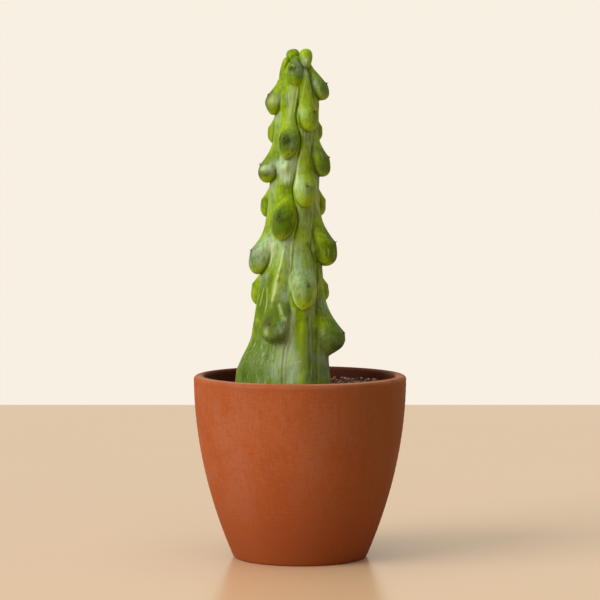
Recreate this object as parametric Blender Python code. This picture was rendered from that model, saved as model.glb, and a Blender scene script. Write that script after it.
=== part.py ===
"""A young column cactus with rounded, drooping tubercles, planted in a clay pot.

Metres, +Z up. The origin is the middle of the pot's foot, on the surface that the pot stands on, and -Y
is the front. A bearing is an angle in degrees round an upright axis, 0 at the front and 90 towards +X.
"""

import math

import bmesh
import bpy
from mathutils import Matrix, Vector, noise

# Clearance between touching pieces
GAP = 0.0003

# Points in each ring of the turned and grown pieces: an even number for each of the stem's ribs
RIB_COLUMNS = 10
SPOKES = 7 * RIB_COLUMNS

# Finishes, and the angle in degrees from which an edge shades sharp
POT_COLOUR = (0.42, 0.13, 0.05)
CROCK_COLOUR = (0.45, 0.17, 0.08)
CLAY_ROUGHNESS = 0.75
SOIL_COLOUR = (0.10, 0.05, 0.03)
SOIL_ROUGHNESS = 0.95
STEM_COLOUR = (0.16, 0.30, 0.04)
STEM_ROUGHNESS = 0.45
EDGE_ANGLE = 40
NO_EDGE = 180

# Pot: a turned clay shell with a parabolic wall, a rounded lip and a drain hole
POT_HEIGHT = 0.103
RIM_RADIUS = 0.060
FOOT_RADIUS = 0.0376
WALL = 0.006
FLOOR = 0.008
LIP_OUTER_ROUND = 0.0034
LIP_INNER_ROUND = 0.0018
FOOT_ROUND = 0.0012
FOOT_RECESS_RADIUS = 0.030
FOOT_RECESS_DEPTH = 0.001
DRAIN_RADIUS = 0.006
OUTER_WALL_STEPS = 7
INNER_WALL_STEPS = 5

# Crock: a curved clay shard over the drain hole
CROCK_RADIUS = 0.017
CROCK_THICKNESS = 0.0045
CROCK_CURVE_RADIUS = 0.040
CROCK_CORNERS = 7
CROCK_RAGGED = 0.12
CROCK_RINGS = 3
CROCK_SPOKES = 28

# Soil: fills the pot to just under the rim and is heaped a little towards +X
SOIL_LEVEL = 0.0955
SOIL_HEAP = 0.0018
SOIL_HEAP_WIDTH = 0.025
SOIL_LUMP = 0.0014
SOIL_LUMP_WIDTH = 0.009
SOIL_TOP_RINGS = 6
SOIL_WALL_STEPS = 4
SOIL_HOLLOW_RINGS = 2

# Stem: the core, measured in the grooves between the ribs, with a dome above its shoulder. Sizes that
# change with height are given at the soil and at the apex, which is as high as the youngest tubercles.
STEM_FOOT_X = -0.0070
STEM_LEAN_X = 0.0062
STEM_APEX = 0.2845
DOME_TOP = 0.2800
DOME_POWER = 3.0
SHOULDER = 0.250
SHOULDER_RADIUS = 0.0117
FOOT_CORE_RADIUS = 0.0241
FLARE_POWER = 1.6

# Ribs: how far they stand out at the soil and at the apex, and how far a full one pushes its grooves over
RIB_FOOT, RIB_APEX = 0.0016, 0.0008
RIB_ROUNDING = 1.8
RIB_SWAY = 0.17

# Near the soil the ribs are lower, and the foot spreads towards one side
LOW_RIB = 0.5
LOW_FROM, LOW_FULL = 0.125, 0.105
SPREAD_BEARING = math.radians(280)
SPREAD = 0.0058
SPREAD_FROM, SPREAD_FULL = 0.127, 0.105

# What stands out of the core hangs by the droop, from a little above the soil, and turns up at the apex
DROOP = math.radians(25)
EMERGE = 0.004
DROOP_OVER = 0.016
APEX_LIFT = math.radians(65)
LIFT_FROM = 0.276

# Tubercles of size 1, at the soil and at the apex: how far they stand out, half their width, and the
# length of the hollow ramp above the areole. The face is the share of the length below the areole that
# keeps its full width. A tubercle's fullness spreads along its rib over a share of its ramp's length.
BULGE_FOOT, BULGE_APEX = 0.0108, 0.0058
HALF_WIDTH_FOOT, HALF_WIDTH_APEX = 0.0110, 0.0062
RAMP_FOOT, RAMP_APEX = 0.0180, 0.0130
RAMP_SIZE_POWER = 1.8
FACE_SHARE = 0.35
RAMP_CURVE = 3.2
RAMP_START_WIDTH = 1.25
FULLNESS_SPREAD = 0.55

# Roundness of a tubercle's sides: on its ramp, on its face beside a crisp and beside a soft groove, and
# on its underside. SIDES_FROM is the share of the ramp over which they change. A tubercle near the soil has
# a shorter face and a slanting underside.
RAMP_ROUNDING = 1.5
SIDE_ROUNDING = 0.55
SOFT_SIDE = 1.1
UNDERSIDE_ROUNDING = 0.6
LOW_UNDERSIDE = 1.2
UNDERSIDE_POWER, LOW_UNDERSIDE_POWER = 2.0, 1.3
LOW_FACE_SHARE = 0.2
LOW_FORM_FROM, LOW_FORM_FULL = 0.140, 0.133
SIDES_FROM = 0.6

# Young tubercles have a short, bulging ramp, keep more of their width, and have no spines yet up to a size
YOUNG_RAMP = 0.0045
YOUNG_CURVE = 0.4
YOUNG_WIDTH_KEPT = 0.4
YOUNG_SIZE = 0.8

# The buried stub
STUB_DEPTH = 0.040
STUB_ROUND = 0.012
STUB_END_SHARE = 0.45

# Areole pads and spines
PAD_RADIUS = 0.0012
PAD_HALF_HEIGHT = 0.0008
PAD_SIDES = 6
SPINE_LENGTH = 0.0013
SPINE_RADIUS = 0.00035
SPINE_ROOT = 0.0009
SPINE_SPREAD = math.radians(35)
SPINE_SIDES = 4

# Rings of points in each stretch of the stem
STUB_RINGS = 4
COLUMN_RINGS = 48
DOME_RINGS = 14

# Each rib: its bearing at the soil and at the apex, how crisp its groove towards the next rib is, then its
# areoles as height on the core, size, the tubercle's length below it, and how far its middle is off the
# rib's crest, as a share of the way to the groove
RIBS = (
    (-26, -16, 1.0, (
        (0.1380, 1.00, 0.0145, 0.0), (0.1965, 1.00, 0.0157, -0.05), (0.2394, 0.95, 0.0137, -0.10))),
    (20, 34, 0.8, (
        (0.1586, 0.88, 0.0169, -0.10), (0.2133, 0.95, 0.0146, -0.28), (0.2541, 0.95, 0.0134, 0.10))),
    (76, 80, 0.5, (
        (0.1327, 1.22, 0.0190, 0.0), (0.1825, 1.15, 0.0168, 0.0), (0.2290, 1.00, 0.0133, 0.0),
        (0.2700, 1.15, 0.0118, 0.0))),
    (124, 128, 0.6, (
        (0.1565, 0.75, 0.0120, 0.0), (0.2050, 0.90, 0.0120, 0.0), (0.2450, 0.80, 0.0100, 0.0),
        (0.2735, 0.50, 0.0070, 0.0))),
    (182, 180, 0.8, (
        (0.1310, 1.00, 0.0180, 0.0), (0.1820, 1.00, 0.0145, 0.0), (0.2270, 1.00, 0.0135, 0.0),
        (0.2680, 0.90, 0.0120, 0.0))),
    (234, 237, 0.4, (
        (0.1575, 0.90, 0.0150, 0.0), (0.2050, 0.98, 0.0125, 0.0), (0.2450, 0.88, 0.0110, 0.0),
        (0.2700, 0.45, 0.0080, 0.0))),
    (284, 290, 0.2, (
        (0.1777, 1.02, 0.0168, 0.0), (0.2254, 1.12, 0.0130, 0.0), (0.2635, 0.95, 0.0135, 0.0))),
)

# The youngest tubercles, knobs on the dome: root, tip, width and rounding, which is 1 on an oval knob and
# less on a squarer one
KNOBS = (
    ((-0.0022, 0.0010, 0.2750), (-0.0046, 0.0036, 0.2862), 0.0076, 0.6),
    ((0.0036, -0.0080, 0.2758), (0.0031, -0.0036, 0.2858), 0.0072, 0.7),
    ((-0.0074, 0.0005, 0.2817), (-0.0088, 0.0000, 0.2640), 0.0068, 0.7),
    ((-0.0020, -0.0030, 0.2822), (-0.0030, -0.0100, 0.2645), 0.0092, 0.95),
)
KNOB_FULLNESS = 0.22
KNOB_RINGS = 6
KNOB_SIDES = 10


def smooth(x, low, high):
    """0 below low, 1 above high, and an even S between them."""
    t = min(1.0, max(0.0, (x - low) / (high - low)))
    return t * t * (3.0 - 2.0 * t)


def between(foot, apex, z):
    """A size that changes evenly from the soil to the apex."""
    t = min(1.0, max(0.0, (z - SOIL_LEVEL) / (STEM_APEX - SOIL_LEVEL)))
    return foot + (apex - foot) * t


def axis_x(z):
    """Where the leaning stem's axis is at a height."""
    return between(STEM_FOOT_X, STEM_FOOT_X + STEM_LEAN_X, z)


def core_radius(z):
    """The core flares to the soil and closes in a full dome."""
    flare = min(1.0, max(0.0, (SHOULDER - z) / (SHOULDER - SOIL_LEVEL)))
    radius = SHOULDER_RADIUS + (FOOT_CORE_RADIUS - SHOULDER_RADIUS) * flare**FLARE_POWER
    dome = min(1.0, max(0.0, (z - SHOULDER) / (DOME_TOP - SHOULDER)))
    return radius * math.sqrt(1.0 - dome**DOME_POWER)


def push_angle(z):
    """Angle above the horizontal at which ribs and tubercles stand out of the core."""
    droop = -DROOP * smooth(z, SOIL_LEVEL + EMERGE, SOIL_LEVEL + DROOP_OVER)
    return droop + (APEX_LIFT + DROOP) * smooth(z, LIFT_FROM, DOME_TOP)


def rib_bearing(i, z):
    return between(RIBS[i][0], RIBS[i][1], z)


def fullness(i, z):
    """How full a rib is at a height: 1 at a tubercle's widest place."""
    total = 0.0
    for height, size, below, _ in RIBS[i][-1]:
        middle = height - FACE_SHARE * below
        spread = FULLNESS_SPREAD * between(RAMP_FOOT, RAMP_APEX, height)
        total += size * math.exp(-(((z - middle) / spread) ** 2))
    return total


def groove_turn(i, side, z):
    """Angle from a rib's crest to the groove on one side. A groove gives way to the fuller rib."""
    other = (i + side) % len(RIBS)
    turn = side * (rib_bearing(other, z) - rib_bearing(i, z)) % 360.0
    return turn * (0.5 + RIB_SWAY * (fullness(i, z) - fullness(other, z)))


def tubercle(across, under, height, size, below, room, crisp):
    """How far one tubercle stands out of its rib: a hollow ramp, a full face and a round underside.

    across is the distance from its middle line, under the distance below its areole, room the distance
    from the middle line to the groove, and crisp how crisp that groove is.
    """
    bulge = size * between(BULGE_FOOT, BULGE_APEX, height)
    half_width = between(HALF_WIDTH_FOOT, HALF_WIDTH_APEX, height)
    half_width *= YOUNG_WIDTH_KEPT + (1.0 - YOUNG_WIDTH_KEPT) * size
    full_ramp = between(RAMP_FOOT, RAMP_APEX, height) * size**RAMP_SIZE_POWER
    ramp = min(full_ramp, max(YOUNG_RAMP, STEM_APEX - height))
    curve = YOUNG_CURVE + (RAMP_CURVE - YOUNG_CURVE) * ramp / full_ramp
    low = smooth(height, LOW_FORM_FROM, LOW_FORM_FULL)
    face = (FACE_SHARE + (LOW_FACE_SHARE - FACE_SHARE) * low) * below
    if under < -ramp or under > below:
        return 0.0
    face_rounding = SOFT_SIDE + (SIDE_ROUNDING - SOFT_SIDE) * crisp
    rounding = RAMP_ROUNDING + (face_rounding - RAMP_ROUNDING) * smooth(under, -SIDES_FROM * ramp, face)
    underside = UNDERSIDE_ROUNDING + (LOW_UNDERSIDE - UNDERSIDE_ROUNDING) * low
    rounding += (underside - rounding) * smooth(under, face, below)
    if under < face:
        widening = RAMP_START_WIDTH + (1.0 - RAMP_START_WIDTH) * smooth(under, -ramp, face)
        side = max(0.0, 1.0 - (across / min(room, half_width * widening)) ** 2) ** rounding
        return bulge * min(1.0, 1.0 + under / ramp) ** curve * side
    power = UNDERSIDE_POWER + (LOW_UNDERSIDE_POWER - UNDERSIDE_POWER) * low
    ring = (across / min(room, half_width)) ** 2 + ((under - face) / (below - face)) ** power
    return bulge * max(0.0, 1.0 - ring) ** rounding


def rib_rise(share, level, crisp):
    """How far a rib stands out of the core between its tubercles."""
    low = 1.0 - (1.0 - LOW_RIB) * smooth(level, LOW_FROM, LOW_FULL)
    sharp = 1.0 - abs(share) ** RIB_ROUNDING
    rolled = 0.5 + 0.5 * math.cos(math.pi * share)
    return between(RIB_FOOT, RIB_APEX, level) * low * (crisp * sharp + (1.0 - crisp) * rolled)


def foot_spread(angle, level):
    """How far the foot spreads out of round near the soil."""
    towards = max(0.0, math.cos(angle - SPREAD_BEARING))
    return SPREAD * towards**2 * smooth(level, SPREAD_FROM, SPREAD_FULL)


def mean_radius(level):
    """Radius on which distances across a rib are measured."""
    return core_radius(level) + 0.5 * between(BULGE_FOOT, BULGE_APEX, level)


def standing_out(i, share, level, height, size, below, shift):
    """How far one tubercle of rib i stands out at a share of the way to the groove."""
    side = 1 if share > shift else -1
    room = math.radians(groove_turn(i, side, level)) * mean_radius(level)
    across = abs(share - shift) / (1.0 - side * shift) * room
    crisp = RIBS[i if side > 0 else i - 1][2]
    return tubercle(across, height - level, height, size, below, room, crisp)


def stem_point(i, share, z, grow=0.0):
    """A point on the stem: on rib i, share of the way from its crest to the groove on one side.

    Below the soil the outline stays as it is at the soil, and the stub's end is rounded off.
    """
    level = max(z, SOIL_LEVEL + EMERGE)
    turn = groove_turn(i, 1 if share > 0 else -1, level)
    crisp = RIBS[i if share > 0 else i - 1][2]
    angle = math.radians(rib_bearing(i, level) + share * turn)
    standing = [standing_out(i, share, level, *areole) for areole in RIBS[i][-1]]
    out = rib_rise(share, level, crisp) + max(standing)
    push = push_angle(level)
    radius = core_radius(level) + foot_spread(angle, level) + out * math.cos(push)
    into_end = max(0.0, (SOIL_LEVEL - STUB_DEPTH + STUB_ROUND - z) / STUB_ROUND)
    radius *= STUB_END_SHARE + (1.0 - STUB_END_SHARE) * math.sqrt(1.0 - min(1.0, into_end) ** 2)
    radius += grow
    height = z + out * math.sin(push)
    return Vector((axis_x(level) + radius * math.sin(angle), -radius * math.cos(angle), height))


def stem_ring(z, grow=0.0):
    """One ring of the stem. Its columns follow the ribs, so each groove and crest has a column."""
    half = RIB_COLUMNS // 2
    ring = []
    for i in range(len(RIBS)):
        ring += [stem_point(i, k / half, z, grow) for k in range(-half, half)]
    return ring


def outer_radius(z):
    """The pot's outer wall is a parabola that stands upright at the rim."""
    return RIM_RADIUS - (RIM_RADIUS - FOOT_RADIUS) * (1.0 - z / POT_HEIGHT) ** 2


def inner_radius(z):
    return outer_radius(z) - WALL


def steps(start, end, count):
    """Evenly spaced values from start to end, count steps apart."""
    return [start + (end - start) * k / count for k in range(count + 1)]


def arc(centre, radius, start, end, count):
    """Points on an arc in a turned outline, angles in degrees from +R towards +Z."""
    angles = [math.radians(a) for a in steps(start, end, count)]
    return [(centre[0] + radius * math.cos(a), centre[1] + radius * math.sin(a)) for a in angles]


def round_ring(radius, z):
    """A level ring that starts at the same bearing as the stem's rings."""
    start = rib_bearing(0, SOIL_LEVEL) - groove_turn(0, -1, SOIL_LEVEL + EMERGE)
    angles = [math.radians(start + 360.0 * k / SPOKES) for k in range(SPOKES)]
    return [Vector((radius * math.sin(a), -radius * math.cos(a), z)) for a in angles]


def skin(name, rings, close_loop=False):
    """A closed mesh through rings of points. A ring of one point is a pole."""
    mesh = bmesh.new()
    layers = [[mesh.verts.new(p) for p in ring] for ring in rings]
    pairs = list(zip(layers, layers[1:]))
    if close_loop:
        pairs.append((layers[-1], layers[0]))
    for low, high in pairs:
        count = max(len(low), len(high))
        for i in range(count):
            k = (i + 1) % count
            if len(low) == 1:
                mesh.faces.new((low[0], high[k], high[i]))
            elif len(high) == 1:
                mesh.faces.new((low[i], low[k], high[0]))
            else:
                mesh.faces.new((low[i], low[k], high[k], high[i]))
    bmesh.ops.triangulate(mesh, faces=mesh.faces[:])
    bmesh.ops.recalc_face_normals(mesh, faces=mesh.faces[:])
    if mesh.calc_volume(signed=True) < 0:
        bmesh.ops.reverse_faces(mesh, faces=mesh.faces[:])
    data = bpy.data.meshes.new(name)
    mesh.to_mesh(data)
    mesh.free()
    made = bpy.data.objects.new(name, data)
    bpy.context.scene.collection.objects.link(made)
    return made


def finish(made, colour, roughness, sharp_angle):
    """Smooth shading and a plain material."""
    made.data.shade_smooth()
    made.data.set_sharp_from_angle(angle=math.radians(sharp_angle))
    material = bpy.data.materials.new(made.name)
    material.use_nodes = True
    shader = material.node_tree.nodes["Principled BSDF"]
    shader.inputs["Base Color"].default_value = (*colour, 1.0)
    shader.inputs["Roughness"].default_value = roughness
    shader.inputs["Metallic"].default_value = 0.0
    made.data.materials.append(material)
    return made


def make_pot():
    """The shell, from the drain hole out under the foot, up, over the lip and down inside."""
    recess_edge = FOOT_RECESS_RADIUS - FOOT_RECESS_DEPTH
    outline = [(DRAIN_RADIUS, FOOT_RECESS_DEPTH), (recess_edge, FOOT_RECESS_DEPTH)]
    outline += [(FOOT_RECESS_RADIUS, 0.0), (FOOT_RADIUS - FOOT_ROUND, 0.0)]
    lip_base = POT_HEIGHT - LIP_OUTER_ROUND
    outline += [(outer_radius(z), z) for z in steps(FOOT_ROUND, lip_base, OUTER_WALL_STEPS)[:-1]]
    outline += arc((outer_radius(lip_base) - LIP_OUTER_ROUND, lip_base), LIP_OUTER_ROUND, 0, 90, 4)
    inner_lip = POT_HEIGHT - LIP_INNER_ROUND
    outline += arc((inner_radius(inner_lip) + LIP_INNER_ROUND, inner_lip), LIP_INNER_ROUND, 90, 180, 2)
    outline += [(inner_radius(z), z) for z in steps(inner_lip, FLOOR, INNER_WALL_STEPS)[1:]]
    outline.append((DRAIN_RADIUS, FLOOR))
    made = skin("pot", [round_ring(r, z) for r, z in outline], close_loop=True)
    return finish(made, POT_COLOUR, CLAY_ROUGHNESS, EDGE_ANGLE)


def crock_reach(bearing):
    """The shard's ragged outline: a corner, then a straighter edge, again and again."""
    return CROCK_RADIUS * (1.0 - CROCK_RAGGED * abs(math.sin(math.radians(bearing) * CROCK_CORNERS / 2)))


def crock_face(radius, thickness):
    """Height of the shard's face that lies a thickness above its hollow side."""
    hollow = CROCK_CURVE_RADIUS - CROCK_THICKNESS
    centre = FLOOR + GAP - math.sqrt(hollow**2 - CROCK_RADIUS**2)
    return centre + math.sqrt((hollow + thickness) ** 2 - radius**2)


def make_crock():
    """A shallow dome of even thickness that rests on its corners."""
    shares = steps(0.0, 1.0, CROCK_RINGS)
    rings = [[Vector((0.0, 0.0, crock_face(0.0, 0.0)))]]
    for thickness, order in ((0.0, shares[1:]), (CROCK_THICKNESS, shares[:0:-1])):
        for share in order:
            ring = []
            for k in range(CROCK_SPOKES):
                bearing = 360.0 * k / CROCK_SPOKES
                reach = crock_reach(bearing) * share
                x, y = reach * math.sin(math.radians(bearing)), -reach * math.cos(math.radians(bearing))
                ring.append(Vector((x, y, crock_face(reach, thickness))))
            rings.append(ring)
    rings.append([Vector((0.0, 0.0, crock_face(0.0, CROCK_THICKNESS)))])
    return finish(skin("drain_crock", rings), CROCK_COLOUR, CLAY_ROUGHNESS, EDGE_ANGLE)


def soil_height(x, y):
    """The soil's surface: a level, a heap towards +X and lumps."""
    lump = noise.noise(Vector((x, y, 0.0)) / SOIL_LUMP_WIDTH)
    return SOIL_LEVEL + SOIL_HEAP * math.tanh(x / SOIL_HEAP_WIDTH) + SOIL_LUMP * lump


def on_soil(p):
    return Vector((p.x, p.y, soil_height(p.x, p.y)))


def make_soil():
    """The potting mix: a blind hole for the stem, the lumpy top, the wall and the hollow over the crock."""
    bottom = SOIL_LEVEL - STUB_DEPTH
    rings = [[Vector((STEM_FOOT_X, 0.0, bottom - GAP))]]
    rings.append([p - Vector((0.0, 0.0, GAP)) for p in stem_ring(bottom, GAP)])
    rings += [stem_ring(z, GAP) for z in stub_heights()[1:]]
    mouth = [on_soil(p) for p in stem_ring(SOIL_LEVEL, GAP)]
    rim = [on_soil(p) for p in round_ring(inner_radius(SOIL_LEVEL) - GAP, SOIL_LEVEL)]
    edge = []
    for p in rim:
        scale = (inner_radius(p.z) - GAP) / math.hypot(p.x, p.y)
        edge.append(Vector((p.x * scale, p.y * scale, p.z)))
    for share in steps(0.0, 1.0, SOIL_TOP_RINGS)[:-1]:
        rings.append([on_soil(a.lerp(b, share)) for a, b in zip(mouth, edge)])
    rings.append(edge)
    base = FLOOR + GAP
    wall_top = SOIL_LEVEL - SOIL_HEAP - 2.0 * SOIL_LUMP
    rings += [round_ring(inner_radius(z) - GAP, z) for z in steps(wall_top, base, SOIL_WALL_STEPS)]
    hollow = CROCK_RADIUS + GAP
    rings.append(round_ring(hollow, base))
    for reach in steps(hollow, 0.0, SOIL_HOLLOW_RINGS + 1)[:-1]:
        rings.append(round_ring(reach, crock_face(min(reach, CROCK_RADIUS), CROCK_THICKNESS) + GAP))
    rings.append([Vector((0.0, 0.0, crock_face(0.0, CROCK_THICKNESS) + GAP))])
    return finish(skin("soil", rings), SOIL_COLOUR, SOIL_ROUGHNESS, NO_EDGE)


def stub_heights():
    """Heights of the buried stub's end rings, closer together where it rounds off."""
    bottom = SOIL_LEVEL - STUB_DEPTH
    return [bottom + STUB_ROUND * (1.0 - math.cos(math.radians(a))) for a in steps(0, 90, STUB_RINGS)]


def stem_heights():
    """Heights of the stem's rings, from the stub's end to just under the dome's top."""
    column = steps(SOIL_LEVEL, SHOULDER, COLUMN_RINGS)
    dome = [SHOULDER + (DOME_TOP - SHOULDER) * math.sin(math.radians(a)) for a in steps(0, 90, DOME_RINGS)]
    return stub_heights() + column + dome[1:-1]


def areole_frame(i, height, shift):
    """Place, outward direction and sideways direction at an areole."""
    step, share_step = 0.0006, 0.12
    place = stem_point(i, shift, height)
    aside = stem_point(i, shift + share_step, height) - stem_point(i, shift - share_step, height)
    along = stem_point(i, shift, height + step) - stem_point(i, shift, height - step)
    return place, aside.cross(along).normalized(), aside.normalized()


def add_cone(name, radius, length, sides, place, direction, collection):
    """A solid cone that stands on place and points along direction."""
    mesh = bmesh.new()
    bmesh.ops.create_cone(
        mesh, cap_ends=True, cap_tris=True, segments=sides, radius1=radius, radius2=0.0, depth=length
    )
    turn = direction.to_track_quat("Z", "Y").to_matrix().to_4x4()
    mesh.transform(Matrix.Translation(place + direction * length / 2) @ turn)
    data = bpy.data.meshes.new(name)
    mesh.to_mesh(data)
    mesh.free()
    collection.objects.link(bpy.data.objects.new(name, data))


def knob(root, tip, width, rounding):
    """Rings of points on a knob that is fuller towards its tip, with a pole at each end."""
    root, tip = Vector(root), Vector(tip)
    along = (tip - root).normalized()
    aside = along.orthogonal().normalized()
    across = along.cross(aside)
    rings = [[root]]
    for t in steps(0.0, math.pi, KNOB_RINGS + 1)[1:-1]:
        middle = root.lerp(tip, 0.5 - 0.5 * math.cos(t))
        radius = 0.5 * width * math.sin(t) ** rounding * (1.0 - KNOB_FULLNESS * math.cos(t))
        turns = [2.0 * math.pi * k / KNOB_SIDES for k in range(KNOB_SIDES)]
        rings.append([middle + radius * (math.cos(a) * aside + math.sin(a) * across) for a in turns])
    rings.append([tip])
    return rings


def add_repeats(stem):
    """Joins the knobs to the stem, and a low pad and two short spines at each full tubercle's areole."""
    repeats = bpy.data.collections.new("repeats")
    bpy.context.scene.collection.children.link(repeats)
    for form in KNOBS:
        made = skin("knob", knob(*form))
        bpy.context.scene.collection.objects.unlink(made)
        repeats.objects.link(made)
    for i, (*_, areoles) in enumerate(RIBS):
        for height, size, _, shift in areoles:
            if size <= YOUNG_SIZE:
                continue
            place, outward, aside = areole_frame(i, height, shift)
            root = place - outward * PAD_HALF_HEIGHT
            add_cone("pad", PAD_RADIUS, 2 * PAD_HALF_HEIGHT, PAD_SIDES, root, outward, repeats)
            for side in (-1, 1):
                lean = (outward + aside * side * math.tan(SPINE_SPREAD)).normalized()
                root = place - lean * SPINE_ROOT
                add_cone("spine", SPINE_RADIUS, SPINE_LENGTH + SPINE_ROOT, SPINE_SIDES, root, lean, repeats)
    union = stem.modifiers.new("repeats", "BOOLEAN")
    union.operation = "UNION"
    union.operand_type = "COLLECTION"
    union.collection = repeats
    union.solver = "EXACT"
    graph = bpy.context.evaluated_depsgraph_get()
    joined = bpy.data.meshes.new_from_object(stem.evaluated_get(graph))
    stem.modifiers.clear()
    stem.data = joined
    for spare in list(repeats.objects):
        bpy.data.objects.remove(spare)
    bpy.data.collections.remove(repeats)


def make_stem():
    """The whole plant in one piece: stub, ribbed stem, tubercles and apex."""
    rings = [[Vector((STEM_FOOT_X, 0.0, SOIL_LEVEL - STUB_DEPTH))]]
    rings += [stem_ring(z) for z in stem_heights()]
    rings.append([Vector((axis_x(DOME_TOP), 0.0, DOME_TOP + RIB_APEX))])
    stem = skin("cactus_stem", rings)
    add_repeats(stem)
    return finish(stem, STEM_COLOUR, STEM_ROUGHNESS, NO_EDGE)


def main():
    for old in list(bpy.data.objects):
        bpy.data.objects.remove(old)
    bpy.context.scene.unit_settings.system = "METRIC"
    planting = bpy.data.objects.new("potted_cactus", None)
    bpy.context.scene.collection.objects.link(planting)
    for piece in (make_pot(), make_crock(), make_soil(), make_stem()):
        piece.parent = planting


main()
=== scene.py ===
"""A young column cactus with drooping tubercles in a clay pot: its visible surfaces, stage and camera.

Laid out as an add-on and run as a script. Metres, +Z up, -Y to the front. A bearing is an angle in degrees
round an upright axis, 0 at the front and 90 towards +X.
"""

import math

import bmesh
import bpy
import numpy as np
from bpy.props import FloatProperty, FloatVectorProperty, IntProperty, PointerProperty
from mathutils import Euler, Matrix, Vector, noise
from mathutils.bvhtree import BVHTree


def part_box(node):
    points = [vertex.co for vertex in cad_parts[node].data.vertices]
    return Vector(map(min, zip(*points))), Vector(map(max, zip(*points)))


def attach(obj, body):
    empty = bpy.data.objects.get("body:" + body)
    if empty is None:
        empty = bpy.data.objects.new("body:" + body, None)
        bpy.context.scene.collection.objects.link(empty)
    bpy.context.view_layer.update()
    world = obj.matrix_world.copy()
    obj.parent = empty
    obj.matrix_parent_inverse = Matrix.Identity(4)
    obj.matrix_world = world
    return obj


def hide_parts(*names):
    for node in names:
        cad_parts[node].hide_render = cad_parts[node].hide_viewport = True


bl_info = {
    "name": "Potted Column Cactus",
    "version": (1, 0, 0),
    "blender": (4, 5, 0),
    "location": "View3D > Sidebar > Cactus",
    "description": "Builds a column cactus with drooping tubercles in a turned clay pot",
    "category": "Object",
}

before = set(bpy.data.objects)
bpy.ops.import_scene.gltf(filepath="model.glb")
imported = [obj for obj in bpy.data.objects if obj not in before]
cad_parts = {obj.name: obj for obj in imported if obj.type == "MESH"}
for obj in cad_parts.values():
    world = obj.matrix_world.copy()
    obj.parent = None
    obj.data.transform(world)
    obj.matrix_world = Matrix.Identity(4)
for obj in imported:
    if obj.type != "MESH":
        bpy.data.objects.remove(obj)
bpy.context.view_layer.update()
POT_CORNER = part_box("pot")[1]

# Pot: a parabolic wall that stands upright at the rim. A flat stretch has its first point a step from its
# corner, and the marks from turning follow each other up the wall at the ring pitch.
POT_HEIGHT = POT_CORNER.z
RIM_RADIUS = POT_CORNER.y
FOOT_RADIUS = 0.0376
WALL = 0.006
FLOOR = 0.008
LIP_OUTER_ROUND = 0.0022
LIP_INNER_ROUND = 0.0018
FOOT_ROUND = 0.0012
FOOT_RECESS_RADIUS = 0.030
FOOT_RECESS_DEPTH = 0.001
DRAIN_RADIUS = 0.006
DRAIN_ROUND = 0.0005
CORNER_STEP = 0.002
RING_PITCH = 0.0041

# Granules: the ring of faces that carries them, clear of the stem and of the wall. It follows the mix down
# to its deepest place and sinks a little where it misses the mix. Then how dense the granules lie, their
# least and greatest sizes, their turns, up to about a full circle, and their roughness.
GRAIN_SPOKES, GRAIN_RINGS = 96, 26
GRAIN_HOLE = 0.019
GRAIN_WALL_GAP = 0.0014
GRAIN_DEEPEST = 0.006
GRAIN_SUNK = 0.001
COARSE_DENSITY = 900000.0
FINE_DENSITY = 420000.0
GRAIN_LEAST, GRAIN_MOST = (0.55, 0.55, 0.45), (1.25, 1.1, 0.95)
GRAIN_TURN = 6.283
GRAIN_ROUGHNESS = 0.0009

# Stem: the core, measured in the grooves between the ribs, with a dome above its shoulder
SOIL_LEVEL = 0.0955
STEM_FOOT_X = -0.0070
STEM_LEAN_X = 0.0062
STEM_APEX = 0.2845
DOME_TOP = 0.2800
DOME_POWER = 3.0
SHOULDER = 0.250
SHOULDER_RADIUS = 0.0117
FOOT_CORE_RADIUS = 0.0241
FLARE_POWER = 1.6

# Ribs
RIB_FOOT, RIB_APEX = 0.0016, 0.0008
RIB_ROUNDING = 1.8
RIB_SWAY = 0.17

# Near the soil the ribs are lower, and the foot spreads towards one side
LOW_RIB = 0.5
LOW_FROM, LOW_FULL = 0.125, 0.105
SPREAD_BEARING = 280
SPREAD = 0.0058
SPREAD_FROM, SPREAD_FULL = 0.127, 0.105

# What stands out of the core hangs by the droop, from a little above the soil, and turns up at the apex
DROOP = 25.0
EMERGE = 0.004
DROOP_OVER = 0.016
APEX_LIFT = 65.0
LIFT_FROM = 0.276

# Tubercles of size 1, at the soil and at the apex
BULGE_FOOT, BULGE_APEX = 0.0108, 0.0058
HALF_WIDTH_FOOT, HALF_WIDTH_APEX = 0.0110, 0.0062
RAMP_FOOT, RAMP_APEX = 0.0180, 0.0130
FACE_SHARE = 0.35
RAMP_CURVE = 3.2
RAMP_SIZE_POWER = 1.8
RAMP_START_WIDTH = 1.25
RAMP_ROUNDING = 1.5
SIDE_ROUNDING = 0.55
SOFT_SIDE = 1.1
UNDERSIDE_ROUNDING = 0.6
LOW_UNDERSIDE = 1.2
UNDERSIDE_POWER, LOW_UNDERSIDE_POWER = 2.0, 1.3
LOW_FACE_SHARE = 0.2
LOW_FORM_FROM, LOW_FORM_FULL = 0.140, 0.133
SIDES_FROM = 0.6
FULLNESS_SPREAD = 0.55
YOUNG_RAMP = 0.0045
YOUNG_CURVE = 0.4
YOUNG_WIDTH_KEPT = 0.4

# The buried stub, and the rings of points: where the column's begin under the soil, how many round off the
# stub's end, and one in so many on the dome
STUB_DEPTH = 0.040
STUB_ROUND = 0.012
STUB_END_SHARE = 0.45
COLUMN_DEPTH = 0.004
STUB_RINGS = 5
DOME_RINGS = 6

# Marks at each areole: the scar, the hollow that it sits in and the painted shade of the notch below it and
# to its right, which fades on a fresh rib
SCAR_WIDTH = 0.0012
HOLLOW_WIDTH = 0.0018
HOLLOW_DEPTH = 0.0006
HOLLOW_RAISED = 0.0004
NOTCH_FOOT, NOTCH_APEX = 0.0044, 0.0024
NOTCH_ASIDE, NOTCH_DROP = 0.0012, 0.0020
NOTCH_FADE = 0.6
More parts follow.
